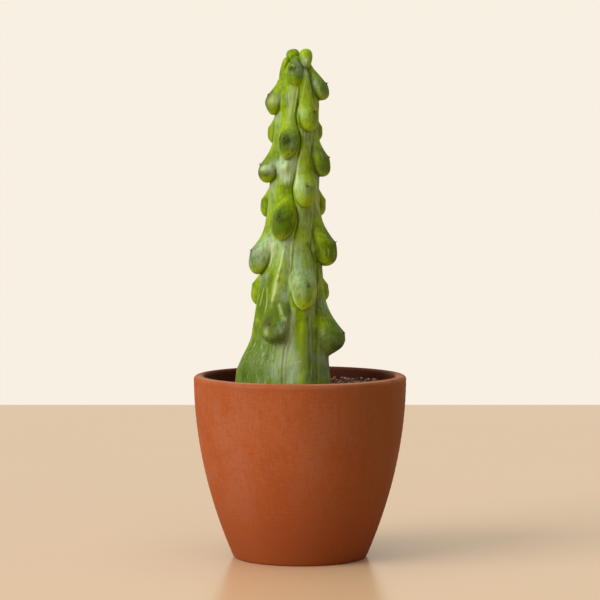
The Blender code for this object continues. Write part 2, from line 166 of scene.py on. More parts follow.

# Painted shade: dark lines round the tubercles' faces, under their overhang, and in the grooves, which both
# fade towards the soil. An outline comes in over a stretch given in lengths of the face. A groove is fainter
# between two equally full ribs.
OUTLINE_WIDTH = 0.0007
OUTLINE_SHADE = 0.75
OUTLINE_FROM, OUTLINE_FULL = 0.3, 1.5
OUTLINE_LOW, OUTLINE_HIGH = 0.120, 0.150
GROOVE_WIDTH = 0.0006
GROOVE_DEPTH = 0.0005
GROOVE_SHADE = 0.85
GROOVE_LOW, GROOVE_HIGH = 0.150, 0.190
EVEN_GROOVE = 0.25
EVEN_FROM, EVEN_TO = 0.05, 0.45

# Unevenness: waves round the stem, waves up it and a place in the noise, for its pleats, wrinkles, lumps and
# dents, then their heights. Wrinkles are higher in the web, which starts a little above a tubercle's lower
# end, and pleats and wrinkles are lower towards the apex.
WAVES = ((4.5, 14.0, 1.3), (15.0, 40.0, 4.1), (2.2, 75.0, 7.7), (5.0, 190.0, 9.2))
PLEAT, WRINKLE, LUMP, DENT = 0.00035, 0.00006, 0.0005, 0.00028
WEB = 0.013
WEB_LAP = 0.001
WEB_WRINKLE = 0.00025
APEX_AGE = 0.35

# Skin: how fresh and lit ramps are, how bright undersides are with a painted glow of light through them, and
# how much bloom webs and faces have. A face begins where a tubercle has risen to a share of its bulge, and an
# underside ends where it hardly stands out.
RAMP_FRESHNESS = 0.62
UNDERSIDE_FRESH_AND_GLOW = 0.55
UNDERSIDE_FROM, UNDERSIDE_FULL = 0.40, 0.85
UNDERSIDE_LEAST = 0.0001
FACE_FROM, FACE_FULL = 0.25, 0.75
WEB_BLOOM, FACE_BLOOM = 0.8, 0.03

# Each rib: its bearing at the soil and at the apex, how crisp its groove towards the next rib is, then its
# areoles as height on the core, size, the tubercle's length below it, and how far its middle is off the
# rib's crest, as a share of the way to the groove
RIBS = (
    (-26, -16, 1.0, (
        (0.1380, 1.00, 0.0145, 0.0), (0.1965, 1.00, 0.0157, -0.05), (0.2394, 0.95, 0.0137, -0.10))),
    (20, 34, 0.8, (
        (0.1586, 0.88, 0.0169, -0.10), (0.2133, 0.95, 0.0146, -0.28), (0.2541, 0.95, 0.0134, 0.10))),
    (76, 80, 0.5, (
        (0.1327, 1.22, 0.0190, 0.0), (0.1825, 1.15, 0.0168, 0.0), (0.2290, 1.00, 0.0133, 0.0),
        (0.2700, 1.15, 0.0118, 0.0))),
    (124, 128, 0.6, (
        (0.1565, 0.75, 0.0120, 0.0), (0.2050, 0.90, 0.0120, 0.0), (0.2450, 0.80, 0.0100, 0.0),
        (0.2735, 0.50, 0.0070, 0.0))),
    (182, 180, 0.8, (
        (0.1310, 1.00, 0.0180, 0.0), (0.1820, 1.00, 0.0145, 0.0), (0.2270, 1.00, 0.0135, 0.0),
        (0.2680, 0.90, 0.0120, 0.0))),
    (234, 237, 0.4, (
        (0.1575, 0.90, 0.0150, 0.0), (0.2050, 0.98, 0.0125, 0.0), (0.2450, 0.88, 0.0110, 0.0),
        (0.2700, 0.45, 0.0080, 0.0))),
    (284, 290, 0.2, (
        (0.1777, 1.02, 0.0168, 0.0), (0.2254, 1.12, 0.0130, 0.0), (0.2635, 0.95, 0.0135, 0.0))),
)

# How fresh and lit each rib's faces are, with painted shade on the darkest, and how much bloom it has
RIB_SKINS = ((0.10, 0.6), (0.75, 0.5), (0.12, 0.3), (0.45, 0.7), (0.60, 0.8), (0.50, 0.7), (0.50, 0.7))

# Lines on the skin: half width, how far they rise, how bright their painted highlight is or, below 0, how
# dark their painted shade is, and their points as bearing and height
LINES = (
    (0.0008, 0.0006, 0.8, ((-16, 0.1740), (-19, 0.1680), (-21, 0.1640))),
    (0.0013, 0.0009, 0.8, ((-21, 0.1640), (-24, 0.1590))),
    (0.0018, 0.0012, 0.6, ((-24, 0.1590), (-26, 0.1535), (-28, 0.1480))),
    (0.0014, 0.0008, 0.2, ((-27, 0.1500), (-29, 0.1450))),
    (0.0007, 0.0005, 0.7, ((-1, 0.1784), (-1, 0.1669), (-3, 0.1574), (3, 0.1509), (8, 0.1458), (17, 0.1435))),
    (0.0007, 0.0003, 0.4, ((17, 0.1435), (26, 0.1480), (33, 0.1556))),
    (0.0007, 0.0003, 0.5, ((-38, 0.1788), (-42, 0.1722), (-44, 0.1675), (-48, 0.1648))),
    (0.0005, 0.0000, 0.6, ((42, 0.1888), (45, 0.1821), (47, 0.1780), (50, 0.1734))),
    (0.0008, -0.0004, -0.6, ((32, 0.1780), (45, 0.1720), (54, 0.1677), (65, 0.1642))),
    (0.0008, -0.0004, -0.7, (
        (46, 0.1850), (52, 0.1760), (58, 0.1683), (59, 0.1574), (54, 0.1462), (50, 0.1380))),
    (0.0007, 0.0003, 0.4, ((-56, 0.1527), (-62, 0.1435))),
    (0.0009, 0.0003, 0.4, ((-48, 0.1529), (-41, 0.1417))),
    (0.0008, 0.0004, 0.6, ((-17, 0.1451), (-10, 0.1400), (-4, 0.1378))),
    (0.0005, -0.0002, -0.3, ((-1, 0.1375), (-1, 0.1261), (-7, 0.1191), (-8, 0.1105), (-7, 0.1000))),
    (0.0006, 0.0001, 0.3, ((2, 0.1375), (1, 0.1261), (-4, 0.1191), (-5, 0.1105), (-4, 0.1000))),
    (0.0005, 0.0000, 0.6, ((3, 0.1117), (18, 0.1131))),
    (0.0006, -0.0003, -0.4, ((47, 0.1300), (47, 0.1244), (43, 0.1000))),
    (0.0007, 0.0003, 0.3, ((52, 0.1300), (52, 0.1244), (48, 0.1000))),
    (0.0034, 0.0026, 0.2, ((-60, 0.2230), (-42, 0.2226), (-22, 0.2216))),
    (0.0028, 0.0016, 0.0, ((-52, 0.2188), (-38, 0.2182))),
    (0.0024, 0.0010, 0.0, ((-52, 0.2560), (-40, 0.2552))),
    (0.0034, 0.0016, 0.0, ((-64, 0.2600), (-46, 0.2596), (-32, 0.2588))),
    (0.0030, 0.0014, 0.1, ((-62, 0.1760), (-46, 0.1765))),
    (0.0007, 0.0004, 0.6, ((44, 0.2155), (60, 0.2020), (72, 0.1950))),
    (0.0007, -0.0005, -1.0, ((47, 0.2785), (43, 0.2720), (43, 0.2680), (49, 0.2620), (54, 0.2570))),
    (0.0005, 0.0003, 0.5, ((2, 0.2640), (-2, 0.2577), (-6, 0.2514))),
    (0.0004, 0.0002, 0.4, ((-22, 0.2620), (-18, 0.2560), (-16, 0.2490))),
    (0.0005, 0.0002, 0.4, ((28, 0.2725), (20, 0.2650), (14, 0.2590))),
    (0.0005, -0.0003, -0.8, ((-31, 0.2405), (-30, 0.2365), (-27, 0.2331))),
    (0.0005, 0.0003, 0.6, ((-36, 0.2400), (-35, 0.2360), (-32, 0.2320))),
    (0.0007, 0.0005, 0.9, ((16, 0.2290), (12, 0.2260), (8, 0.2200), (4, 0.2140), (0, 0.2080), (5, 0.2020))),
    (0.0005, 0.0002, 0.6, ((46, 0.2170), (58, 0.2090), (72, 0.2022))),
    (0.0005, 0.0002, 0.5, ((54, 0.2170), (66, 0.2090))),
    (0.0005, 0.0002, 0.5, ((-40, 0.1990), (-38, 0.1900), (-40, 0.1820))),
    (0.0005, -0.0003, -0.5, ((30, 0.1370), (30, 0.1218), (31, 0.1040))),
    (0.0005, 0.0002, 0.4, ((36, 0.1295), (36, 0.1213), (34, 0.1040))),
)

# Many patches paint light: sheen among the bloom, highlights, and shade where a patch darkens the skin.
# Patches on the skin: what they change, then their bearing, height, half width, half height and strength
PATCHES = {
    "bloom_and_sheen": (
        (27, 0.2731, 0.0020, 0.0030, 0.8), (48, 0.2690, 0.0018, 0.0056, 0.8),
        (-54, 0.2584, 0.0028, 0.0028, 1.6), (-14, 0.2575, 0.0036, 0.0110, 0.6),
        (-52, 0.2545, 0.0040, 0.0030, -0.4), (13, 0.2520, 0.0026, 0.0030, 0.6),
        (52, 0.2400, 0.0040, 0.0100, 0.6), (-7, 0.2364, 0.0022, 0.0036, 0.5),
        (-58, 0.2238, 0.0018, 0.0014, 1.3), (-38, 0.2226, 0.0046, 0.0024, 0.9),
        (-30, 0.2222, 0.0060, 0.0032, 0.9), (-22, 0.2216, 0.0036, 0.0026, 0.9),
        (-58, 0.2200, 0.0046, 0.0046, -0.9), (-34, 0.2200, 0.0060, 0.0050, 0.5),
        (-20, 0.2200, 0.0050, 0.0050, 0.9), (-38, 0.2198, 0.0070, 0.0040, 0.8),
        (-14, 0.2190, 0.0040, 0.0050, 0.6), (8, 0.2150, 0.0022, 0.0080, 0.7),
        (-20, 0.2149, 0.0030, 0.0040, 0.9), (11, 0.2114, 0.0030, 0.0022, 0.5),
        (28, 0.2110, 0.0030, 0.0024, 0.5), (58, 0.2060, 0.0040, 0.0110, 0.7),
        (-20, 0.2050, 0.0060, 0.0060, -0.5), (-54, 0.1802, 0.0020, 0.0040, 0.4),
        (-62, 0.1792, 0.0040, 0.0040, 0.5), (38, 0.1790, 0.0030, 0.0100, 0.3),
        (-22, 0.1785, 0.0080, 0.0030, 0.6), (-65, 0.1749, 0.0016, 0.0010, 0.8),
        (-48, 0.1745, 0.0036, 0.0070, 1.2), (-64, 0.1735, 0.0050, 0.0060, 0.7),
        (16, 0.1710, 0.0050, 0.0080, 0.5), (-22, 0.1700, 0.0060, 0.0060, 0.4),
        (0, 0.1690, 0.0040, 0.0100, 0.6), (22, 0.1620, 0.0040, 0.0050, 0.4),
        (9, 0.1581, 0.0040, 0.0080, 0.4), (42, 0.1580, 0.0040, 0.0120, 0.6),
        (-26, 0.1530, 0.0020, 0.0060, 0.7), (-56, 0.1470, 0.0060, 0.0110, -0.5),
        (-9, 0.1460, 0.0030, 0.0080, 0.7), (64, 0.1430, 0.0050, 0.0070, 0.5),
        (-19, 0.1412, 0.0060, 0.0040, -0.8), (-20, 0.1410, 0.0050, 0.0040, -0.5),
        (-9, 0.1360, 0.0036, 0.0036, 0.9), (15, 0.1320, 0.0040, 0.0110, -1.0),
        (4, 0.1310, 0.0024, 0.0080, 1.8), (62, 0.1290, 0.0070, 0.0070, -0.9),
        (3, 0.1218, 0.0015, 0.0060, 0.6), (-4, 0.1200, 0.0040, 0.0060, 0.4),
        (-48, 0.1190, 0.0060, 0.0060, -0.4), (-22, 0.1180, 0.0090, 0.0050, -0.7),
        (34, 0.1170, 0.0050, 0.0180, 0.6), (60, 0.1140, 0.0060, 0.0060, 0.8),
        (5, 0.1110, 0.0036, 0.0110, 0.7), (-6, 0.1100, 0.0090, 0.0120, 0.9),
        (-50, 0.1090, 0.0080, 0.0100, -0.5), (8, 0.1076, 0.0025, 0.0040, 0.8),
    ),
    "areole_dark_and_shade": (
        (-38, 0.2625, 0.0016, 0.0030, 0.4), (-70, 0.2600, 0.0014, 0.0050, 0.7),
        (-64, 0.2590, 0.0018, 0.0050, 0.6), (-18, 0.2385, 0.0013, 0.0030, 0.8),
        (-68, 0.2225, 0.0016, 0.0050, 0.7), (20, 0.2140, 0.0010, 0.0010, 0.6),
        (-22, 0.1965, 0.0013, 0.0034, 0.8), (23, 0.1590, 0.0010, 0.0014, 0.8),
        (24, 0.1560, 0.0050, 0.0040, -0.5), (-19, 0.1412, 0.0060, 0.0040, 0.35),
        (-28, 0.1385, 0.0018, 0.0022, 0.6), (-18, 0.1370, 0.0050, 0.0036, -0.7),
        (62, 0.1300, 0.0060, 0.0060, 0.15), (-12, 0.1262, 0.0034, 0.0014, 0.7),
        (40, 0.1260, 0.0020, 0.0100, 0.35), (-7, 0.1238, 0.0020, 0.0012, 0.7),
        (-30, 0.1158, 0.0016, 0.0008, 0.6), (34, 0.1131, 0.0018, 0.0140, 0.6),
        (-50, 0.1070, 0.0100, 0.0080, 0.2), (-60, 0.1050, 0.0030, 0.0060, 0.5),
    ),
    "fresh_and_lit": (
        (17, 0.2641, 0.0030, 0.0060, 0.3), (66, 0.2600, 0.0050, 0.0040, 0.6),
        (-50, 0.2560, 0.0040, 0.0050, 0.3), (-21, 0.2459, 0.0040, 0.0040, 0.3),
        (20, 0.2202, 0.0030, 0.0080, 0.3), (-58, 0.2200, 0.0052, 0.0052, -0.85),
        (-64, 0.2170, 0.0060, 0.0040, 0.4), (-54, 0.2165, 0.0034, 0.0024, 0.6),
        (-22, 0.2090, 0.0050, 0.0050, -0.3), (16, 0.2060, 0.0030, 0.0030, 0.6),
        (-22, 0.2054, 0.0050, 0.0080, -0.15), (-60, 0.1740, 0.0060, 0.0070, -0.4),
        (15, 0.1560, 0.0060, 0.0090, -0.4), (-55, 0.1480, 0.0060, 0.0110, -0.55),
        (-48, 0.1480, 0.0080, 0.0180, -0.3), (-9, 0.1460, 0.0036, 0.0090, -0.7),
        (64, 0.1430, 0.0050, 0.0070, -0.5), (-19, 0.1425, 0.0060, 0.0040, -0.8),
        (-19, 0.1412, 0.0060, 0.0040, -0.9), (15, 0.1320, 0.0040, 0.0100, -0.8),
        (66, 0.1290, 0.0060, 0.0060, -0.3), (20, 0.1280, 0.0032, 0.0160, 0.6),
        (17, 0.1160, 0.0036, 0.0220, 0.8), (-48, 0.1131, 0.0140, 0.0160, -0.8),
        (-4, 0.1100, 0.0070, 0.0120, 0.5), (-56, 0.1080, 0.0120, 0.0100, -0.5),
    ),
    "painted_highlight": (
        (-57, 0.2600, 0.0022, 0.0026, 0.6), (-14, 0.2570, 0.0016, 0.0060, 0.4),
        (-58, 0.2238, 0.0013, 0.0010, 0.4), (-20, 0.2205, 0.0040, 0.0050, 0.25),
        (-12, 0.2180, 0.0030, 0.0050, 0.35), (18, 0.2140, 0.0012, 0.0020, 0.5),
        (-47, 0.1745, 0.0030, 0.0060, 0.4), (-26, 0.1335, 0.0014, 0.0030, 0.5),
        (3, 0.1320, 0.0014, 0.0070, 0.8), (-8, 0.1130, 0.0070, 0.0120, 0.38),
        (9, 0.1080, 0.0024, 0.0080, 0.4), (15, 0.1080, 0.0018, 0.0120, 0.2),
    ),
    "speck": (
        (40, 0.2640, 0.0040, 0.0060, 0.5), (60, 0.2640, 0.0050, 0.0060, 0.6),
        (18, 0.2110, 0.0030, 0.0060, 0.5), (9, 0.1560, 0.0035, 0.0070, 0.5),
        (-11, 0.1505, 0.0026, 0.0060, 1.0), (-8, 0.1334, 0.0030, 0.0040, 0.9),
        (62, 0.1260, 0.0060, 0.0060, 0.6), (-41, 0.1131, 0.0070, 0.0060, 0.5),
    ),
    "scar": (
        (-28, 0.1380, 0.0012, 0.0018, 1.2), (-23, 0.1345, 0.0008, 0.0030, 0.5),
    ),
    "gloss": (
        (-56, 0.2600, 0.0026, 0.0028, 1.0), (-15, 0.2570, 0.0040, 0.0100, 0.6),
        (18, 0.2560, 0.0030, 0.0040, 0.7), (-58, 0.2240, 0.0022, 0.0020, 1.0),
        (-30, 0.2222, 0.0060, 0.0040, 0.8), (18, 0.2136, 0.0020, 0.0030, 1.0),
        (-50, 0.1740, 0.0060, 0.0080, 0.7), (-20, 0.1600, 0.0060, 0.0160, 0.7),
        (-5, 0.1080, 0.0100, 0.0080, 0.5),
    ),
}

# The youngest tubercles, knobs on the dome: root, tip, width and rounding, which is 1 on an oval knob and
# less on a squarer one. The last has an areole.
KNOBS = (
    ((-0.0022, 0.0010, 0.2750), (-0.0046, 0.0036, 0.2860), 0.0076, 0.6),
    ((0.0036, -0.0080, 0.2758), (0.0031, -0.0036, 0.2858), 0.0072, 0.7),
    ((-0.0074, 0.0005, 0.2817), (-0.0088, 0.0000, 0.2640), 0.0068, 0.7),
    ((-0.0020, -0.0030, 0.2822), (-0.0030, -0.0100, 0.2645), 0.0092, 0.95),
)
KNOB_FULLNESS = 0.22

# The knobs' skin: how fresh and lit each is, its areole, the middle of the painted shade on the cheek between
# two of them, and the painted glint on the second, with their half widths. Then where the painted highlight
# of the rim begins above the areole, and how far from it the specks and the fresher skin begin.
KNOB_FRESHNESS = (0.25, 0.7, 0.2, 0.35)
KNOB_AREOLE = (-0.0047, -0.0097, 0.2757)
KNOB_CHEEK = (0.0004, -0.0086, 0.2752)
KNOB_GLINT = (0.0034, -0.0096, 0.2798)
KNOB_NOTCH_WIDTH = 0.0026
CHEEK_WIDTH = 0.0054
GLINT_WIDTH, GLINT_CORE = 0.0020, 0.0008
AREOLE_RIM, AREOLE_RIM_WIDTH = 0.0015, 0.0005
RIM_FROM, RIM_FULL = 0.0002, 0.0010
SPECKS_FROM, SPECKS_FULL = 0.002, 0.004
FRESHER_FROM, FRESHER_FULL = 0.007, 0.010

# Areoles: how many spines stand on each, how they splay and sink in, the shortest as a share of the longest,
# how flat the felt pad is, and which way the areole on the knob faces and its size
SPINES = 5
SPINE_SPLAY = 0.75
SPINE_SINK = 0.0004
SPINE_LEAST = 0.55
PAD_FLATNESS = 0.7
KNOB_AREOLE_WAY = (-0.3, -0.9, 0.3)
KNOB_AREOLE_SIZE = 0.9

# Camera: the photograph's frame is PICTURE pixels on each side
PICTURE = 600
FOCAL_PIXELS = 2667.0
CAMERA_DISTANCE = 1.5
CAMERA_HEIGHT = 0.240
CAMERA_PITCH = 3.61
SENSOR = 36.0

# Floor and lights: half the floor's width, its darker places as a share of its colour, where each light comes
# from, the top light's width, and how much of the backdrop is mirrored
FLOOR_HALF = 0.838
FLOOR_SHADE = 0.94
KEY_FROM = (-0.87, -0.50, 0.50)
TOP_FROM = (-0.10, -0.10, 1.0)
TOP_ANGLE = 1.6
BACKDROP_GLOSS = 0.6


def colour_setting(name, description, default):
    """A colour that a user can change."""
    return FloatVectorProperty(
        name=name, description=description, subtype="COLOR", size=3, min=0.0, max=1.0, default=default
    )


def length_setting(name, description, default):
    """A length that a user can change."""
    return FloatProperty(name=name, description=description, default=default, min=0.0, subtype="DISTANCE")


class PotSettings(bpy.types.PropertyGroup):
    """Sizes and colours of the clay pot."""

    clay: colour_setting("Clay", "Colour of most of the fired clay", (0.40, 0.097, 0.026))
    pale_clay: colour_setting("Pale clay", "Colour where salts have bloomed", (0.39, 0.120, 0.056))
    dark_clay: colour_setting("Dark clay", "Colour where the clay fired darker", (0.350, 0.075, 0.015))
    worn_and_highlit_clay: colour_setting("Worn clay", "Colour of the rubbed lip", (0.46, 0.190, 0.105))
    shaded_clay: colour_setting("Shaded clay", "Colour of the duller side", (0.21, 0.070, 0.017))
    foot_clay: colour_setting("Foot clay", "Colour of the damp clay at the foot", (0.25, 0.056, 0.012))
    damp_and_shaded_clay: colour_setting("Damp clay", "Colour of the stained inside", (0.068, 0.014, 0.0035))
    spokes: IntProperty(name="Spokes", description="Points round the pot", default=256, min=24)
    finger_marks: length_setting("Finger marks", "Depth of the marks from turning", 0.00006)


class SoilSettings(bpy.types.PropertyGroup):
    """Sizes and colours of the potting mix."""

    dark_grit: colour_setting("Dark grit", "Colour of bark and wet grit", (0.016, 0.007, 0.004))
    brown_grit: colour_setting("Brown grit", "Colour of most granules", (0.40, 0.165, 0.092))
    pale_grit: colour_setting("Pale grit", "Colour of the few pale granules", (0.62, 0.52, 0.44))
    ruddy_grit: colour_setting("Ruddy grit", "Colour of the lighter granules", (0.62, 0.31, 0.20))
    grain: length_setting("Grain", "Width of a large granule", 0.0026)
    spacing: length_setting("Spacing", "Least distance between large granules", 0.0016)
    dust_grain: length_setting("Fine grain", "Width of the fine grit between them", 0.0011)


class StemSettings(bpy.types.PropertyGroup):
    """Sizes and colours of the plant's skin."""

    columns: IntProperty(name="Columns", description="Points across each rib", default=40, min=8)
    rings: IntProperty(name="Rings", description="Rings of points up the stem", default=330, min=40)
    fresh_and_lit: colour_setting("Fresh skin", "Bright skin on the ramps", (0.31, 0.46, 0.004))
    skin: colour_setting("Skin", "Olive skin on the shaded faces", (0.095, 0.165, 0.002))
    shade_and_areole_skin: colour_setting("Deep skin", "Colour in grooves and at areoles", (0.030, 0.058, 0.004))
    bloom_and_sheen: colour_setting("Bloom", "Colour of the waxy bloom", (0.40, 0.56, 0.37))
    crest_and_highlight: colour_setting("Crest", "Colour of the rubbed ridges", (0.58, 0.69, 0.25))
    frost: colour_setting("Frost", "Colour of the grey specks", (0.36, 0.44, 0.30))
    old: colour_setting("Old skin", "Colour of the skin near the soil", (0.14, 0.22, 0.06))
    scar: colour_setting("Scar", "Colour of the scars at old areoles", (0.10, 0.060, 0.022))


class AreoleSettings(bpy.types.PropertyGroup):
    """Sizes and colours of the areoles and spines."""

    wool: colour_setting("Wool", "Colour of the areole's felt", (0.030, 0.026, 0.012))
    dark_felt: colour_setting("Dark felt", "Colour deep in the felt", (0.010, 0.008, 0.005))
    spine: colour_setting("Spine", "Colour of the spines", (0.40, 0.32, 0.22))
    spine_length: length_setting("Spine length", "Length of the longest spines", 0.0021)
    spine_radius: length_setting("Spine radius", "Radius of a spine at its root", 0.00018)
    pad_radius: length_setting("Pad radius", "Radius of the felt pad", 0.00050)


class StageSettings(bpy.types.PropertyGroup):
    """Floor and light."""

    floor: colour_setting("Floor", "Colour of the floor", (0.84, 0.575, 0.335))
    backdrop: colour_setting("Backdrop", "Colour behind the object", (0.939, 0.871, 0.761))
    key: FloatProperty(name="Key light", description="Strength of the main light", default=2.4)
    key_angle: FloatProperty(
        name="Key size", description="Width of the main light", default=0.75, unit="ROTATION"
    )
    top: FloatProperty(name="Top light", description="Strength of the light overhead", default=1.4)
    ambient: FloatProperty(name="Ambient", description="Strength of the light from all round", default=0.20)


def opaque(colour):
    """A colour with its alpha, or a socket as it is."""
    return colour if isinstance(colour, bpy.types.NodeSocket) else (*colour, 1.0)


class Nodes:
    """Adds nodes to a tree. A node's inputs are numbers or other nodes' results."""

    def __init__(self, tree):
        self.tree = tree

    def feed(self, node, inputs):
        """Links or sets a node's inputs."""
        for name, value in dict(inputs).items():
            if isinstance(value, bpy.types.NodeSocket):
                self.tree.links.new(value, node.inputs[name])
            else:
                node.inputs[name].default_value = value

    def add(self, kind, inputs=(), **settings):
        """A new node with its settings and inputs."""
        node = self.tree.nodes.new(kind)
        for name, value in settings.items():
            setattr(node, name, value)
        self.feed(node, inputs)
        return node

    def result(self, kind, inputs=(), **settings):
        """A new node's first result."""
        return self.add(kind, inputs, **settings).outputs[0]

    def maths(self, operation, *values):
        """A Math node's result."""
        return self.result("ShaderNodeMath", enumerate(values), operation=operation)

    def times(self, first, *others):
        """The product of two or more values."""
        for other in others:
            first = self.maths("MULTIPLY", first, other)
        return first

    def span(self, value, low, high):
        """0 at low, 1 at high, with an even S between them."""
        inputs = {"Value": value, "From Min": low, "From Max": high}
        return self.result("ShaderNodeMapRange", inputs, interpolation_type="SMOOTHSTEP")

    def mixed(self, share, first, second):
        """A colour between two colours."""
        inputs = {0: share, 6: opaque(first), 7: opaque(second)}
        return self.add("ShaderNodeMix", inputs, data_type="RGBA").outputs[2]

    def tinted(self, colour, *tints):
        """A colour under tints: each is a colour, a value, where the value begins and ends, and a share."""
        for tint, value, begins, ends, share in tints:
            colour = self.mixed(self.times(self.span(value, begins, ends), share), colour, tint)
        return colour

    def vector(self, operation, first, *others, **inputs):
        """A Vector Math node's result."""
        inputs = {0: first, **dict(enumerate(others, 1)), **inputs}
        return self.result("ShaderNodeVectorMath", inputs, operation=operation)

    def random(self, least, most, seed):
        """A random number, or a random vector where least and most are vectors."""
        kind, first, output = ("FLOAT_VECTOR", 0, 0) if isinstance(least, tuple) else ("FLOAT", 2, 1)
        inputs = {first: least, first + 1: most, "Seed": seed}
        return self.add("FunctionNodeRandomValue", inputs, data_type=kind).outputs[output]

    def named(self, name, kind="FLOAT"):
        """What the points carry under a name."""
        return self.result("GeometryNodeInputNamedAttribute", {"Name": name}, data_type=kind)

    def stored(self, geometry, name, value, domain):
        """Geometry that carries a number under a name."""
        inputs = {"Geometry": geometry, "Name": name, "Value": value}
        return self.result("GeometryNodeStoreNamedAttribute", inputs, data_type="FLOAT", domain=domain)

    def sampled(self, geometry, value, index, kind):
        """What one point of a geometry carries."""
        inputs = {"Geometry": geometry, "Value": value, "Index": index}
        return self.result("GeometryNodeSampleIndex", inputs, data_type=kind)

    def upright_along(self, way):
        """The turn that points a piece's Z axis along a vector."""
        return self.result("FunctionNodeAlignRotationToVector", {"Vector": way}, axis="Z")

    def set_on(self, points, piece, turn, size):
        """A copy of a piece on each point."""
        inputs = {"Points": points, "Instance": piece, "Rotation": turn, "Scale": size}
        return self.result("GeometryNodeInstanceOnPoints", inputs)

    def joined(self, *layers):
        """Several geometries as one."""
        node = self.add("GeometryNodeJoinGeometry")
        for layer in layers:
            self.tree.links.new(layer, node.inputs[0])
        return node.outputs[0]


class Finish(Nodes):
    """A material and the nodes that feed its Principled shader."""

    def __init__(self, name):
        self.material = bpy.data.materials.new(name)
        self.material.use_nodes = True
        super().__init__(self.material.node_tree)
        self.place = self.add("ShaderNodeTexCoord").outputs["Object"]

    def axes(self):
        """The Object coordinates, apart."""
        return self.add("ShaderNodeSeparateXYZ", {0: self.place}).outputs

    def noise(self, scale, detail=2.0, roughness=0.5, stretch=None):
        """Noise on the Object coordinates, stretched along the axes where asked."""
        place = self.place
        if stretch:
            place = self.result("ShaderNodeMapping", {"Vector": place, "Scale": stretch})
        inputs = {"Vector": place, "Scale": scale, "Detail": detail, "Roughness": roughness}
        return self.result("ShaderNodeTexNoise", inputs)

    def field(self, name):
        """A number stored on the mesh."""
        return self.add("ShaderNodeAttribute", attribute_name=name).outputs["Fac"]

    def bump(self, height, distance, strength=1.0):
        """Fine relief."""
        return self.result("ShaderNodeBump", {"Height": height, "Distance": distance, "Strength": strength})

    def made(self, colour, **inputs):
        """The material, once its shader has its inputs. An underscore in a name stands for a space."""
        named = {name.replace("_", " "): value for name, value in inputs.items()}
        self.feed(self.tree.nodes["Principled BSDF"], {"Base Color": colour, **named})
        return self.material


def terracotta(settings):
    """Unglazed fired clay: mottled, with faint upright streaks, a rubbed lip and a damp inside, with painted
    light and shade.
    """
    clay = Finish("terracotta")
    mottle = clay.noise(24.0, 4.0, 0.55)
    salts = clay.noise(41.0, 5.0, 0.6, (1.0, 1.0, 0.6))
    streaks = clay.noise(240.0, 3.0, 0.6, (1.0, 1.0, 0.06))
    specks = clay.noise(2600.0)
    rings = clay.noise(1000.0, 2.0, 0.6, (0.25, 0.25, 1.0))
    fibres = clay.noise(1000.0, 2.0, 0.6, (1.0, 1.0, 0.15))
    weave = clay.maths("ADD", rings, fibres)
    x, y, height = clay.axes()
    # Painted shade: the clay darkens towards +X, the side away from the key light
    side = clay.maths("MULTIPLY_ADD", mottle, 0.03, x)
    colour = clay.tinted(
        clay.mixed(clay.span(mottle, 0.38, 0.62), settings.dark_clay, settings.clay),
        (settings.pale_clay, salts, 0.44, 0.70, 0.80),
        (settings.clay, streaks, 0.50, 0.70, 0.40),
        (settings.dark_clay, streaks, 0.46, 0.30, 0.45),
        (settings.dark_clay, specks, 0.58, 0.75, 0.25),
        (settings.dark_clay, weave, 1.0, 0.75, 0.6),
        (settings.pale_clay, weave, 1.0, 1.25, 0.5),
        (settings.shaded_clay, side, -0.005, 0.085, 0.8),
        # Darker towards the foot
        (settings.foot_clay, height, 0.065, 0.0, 0.8),
    )
    drop = clay.maths("SUBTRACT", POT_HEIGHT, height)
    # Wear with painted highlights on the lip: a band along its front's lower edge, its top and its right end
    front = clay.times(clay.span(x, -0.045, -0.020), clay.span(x, 0.035, 0.005), 0.3)
    band = clay.times(clay.span(drop, 0.0028, 0.0021), clay.span(drop, 0.0010, 0.0017), front)
    top = clay.times(clay.span(drop, 0.0007, 0.0002), clay.span(y, 0.015, -0.010), 0.8)
    corner = clay.times(clay.span(x, 0.036, 0.054), clay.span(drop, 0.0036, 0.0010), 0.6)
    wear_and_highlight = clay.maths("MAXIMUM", clay.maths("MAXIMUM", band, top), corner)
    # Painted shade in a band just under the lip
    shade_under_lip = clay.times(clay.span(drop, 0.0022, 0.0036), 0.35)
    # The inside darkens towards the soil and the back: a damp stain, mostly painted shade
    stain = clay.maths("MULTIPLY_ADD", mottle, -0.003, drop)
    stain = clay.maths("MULTIPLY_ADD", clay.span(y, 0.0, 0.035), 0.004, stain)
    damp_and_shade = clay.maths("MULTIPLY_ADD", clay.span(x, 0.025, 0.055), -0.30, 0.95)
    damp_and_shade = clay.times(clay.field("inner"), damp_and_shade)
    colour = clay.tinted(
        colour,
        (settings.worn_and_highlit_clay, salts, 0.25, 0.55, wear_and_highlight),
        (settings.dark_clay, drop, 0.0056, 0.0036, shade_under_lip),
        (settings.damp_and_shaded_clay, stain, -0.0016, 0.0006, damp_and_shade),
    )
    relief = clay.bump(clay.maths("MULTIPLY_ADD", streaks, 0.6, specks), 0.00006, 0.7)
    return clay.made(colour, Normal=relief, Roughness=clay.span(salts, -0.9, 1.3), Specular_IOR_Level=0.14)


def broken_clay(settings):
    """The crock's clay, paler where it broke."""
    clay = Finish("broken_clay")
    mottle = clay.noise(120.0, 5.0, 0.6)
    grain = clay.noise(2200.0)
    colour = clay.mixed(clay.span(mottle, 0.35, 0.65), settings.dark_clay, settings.pale_clay)
    colour = clay.mixed(clay.span(grain, 0.55, 0.8), colour, settings.worn_and_highlit_clay)
    return clay.made(colour, Normal=clay.bump(grain, 0.00012), Roughness=0.85)


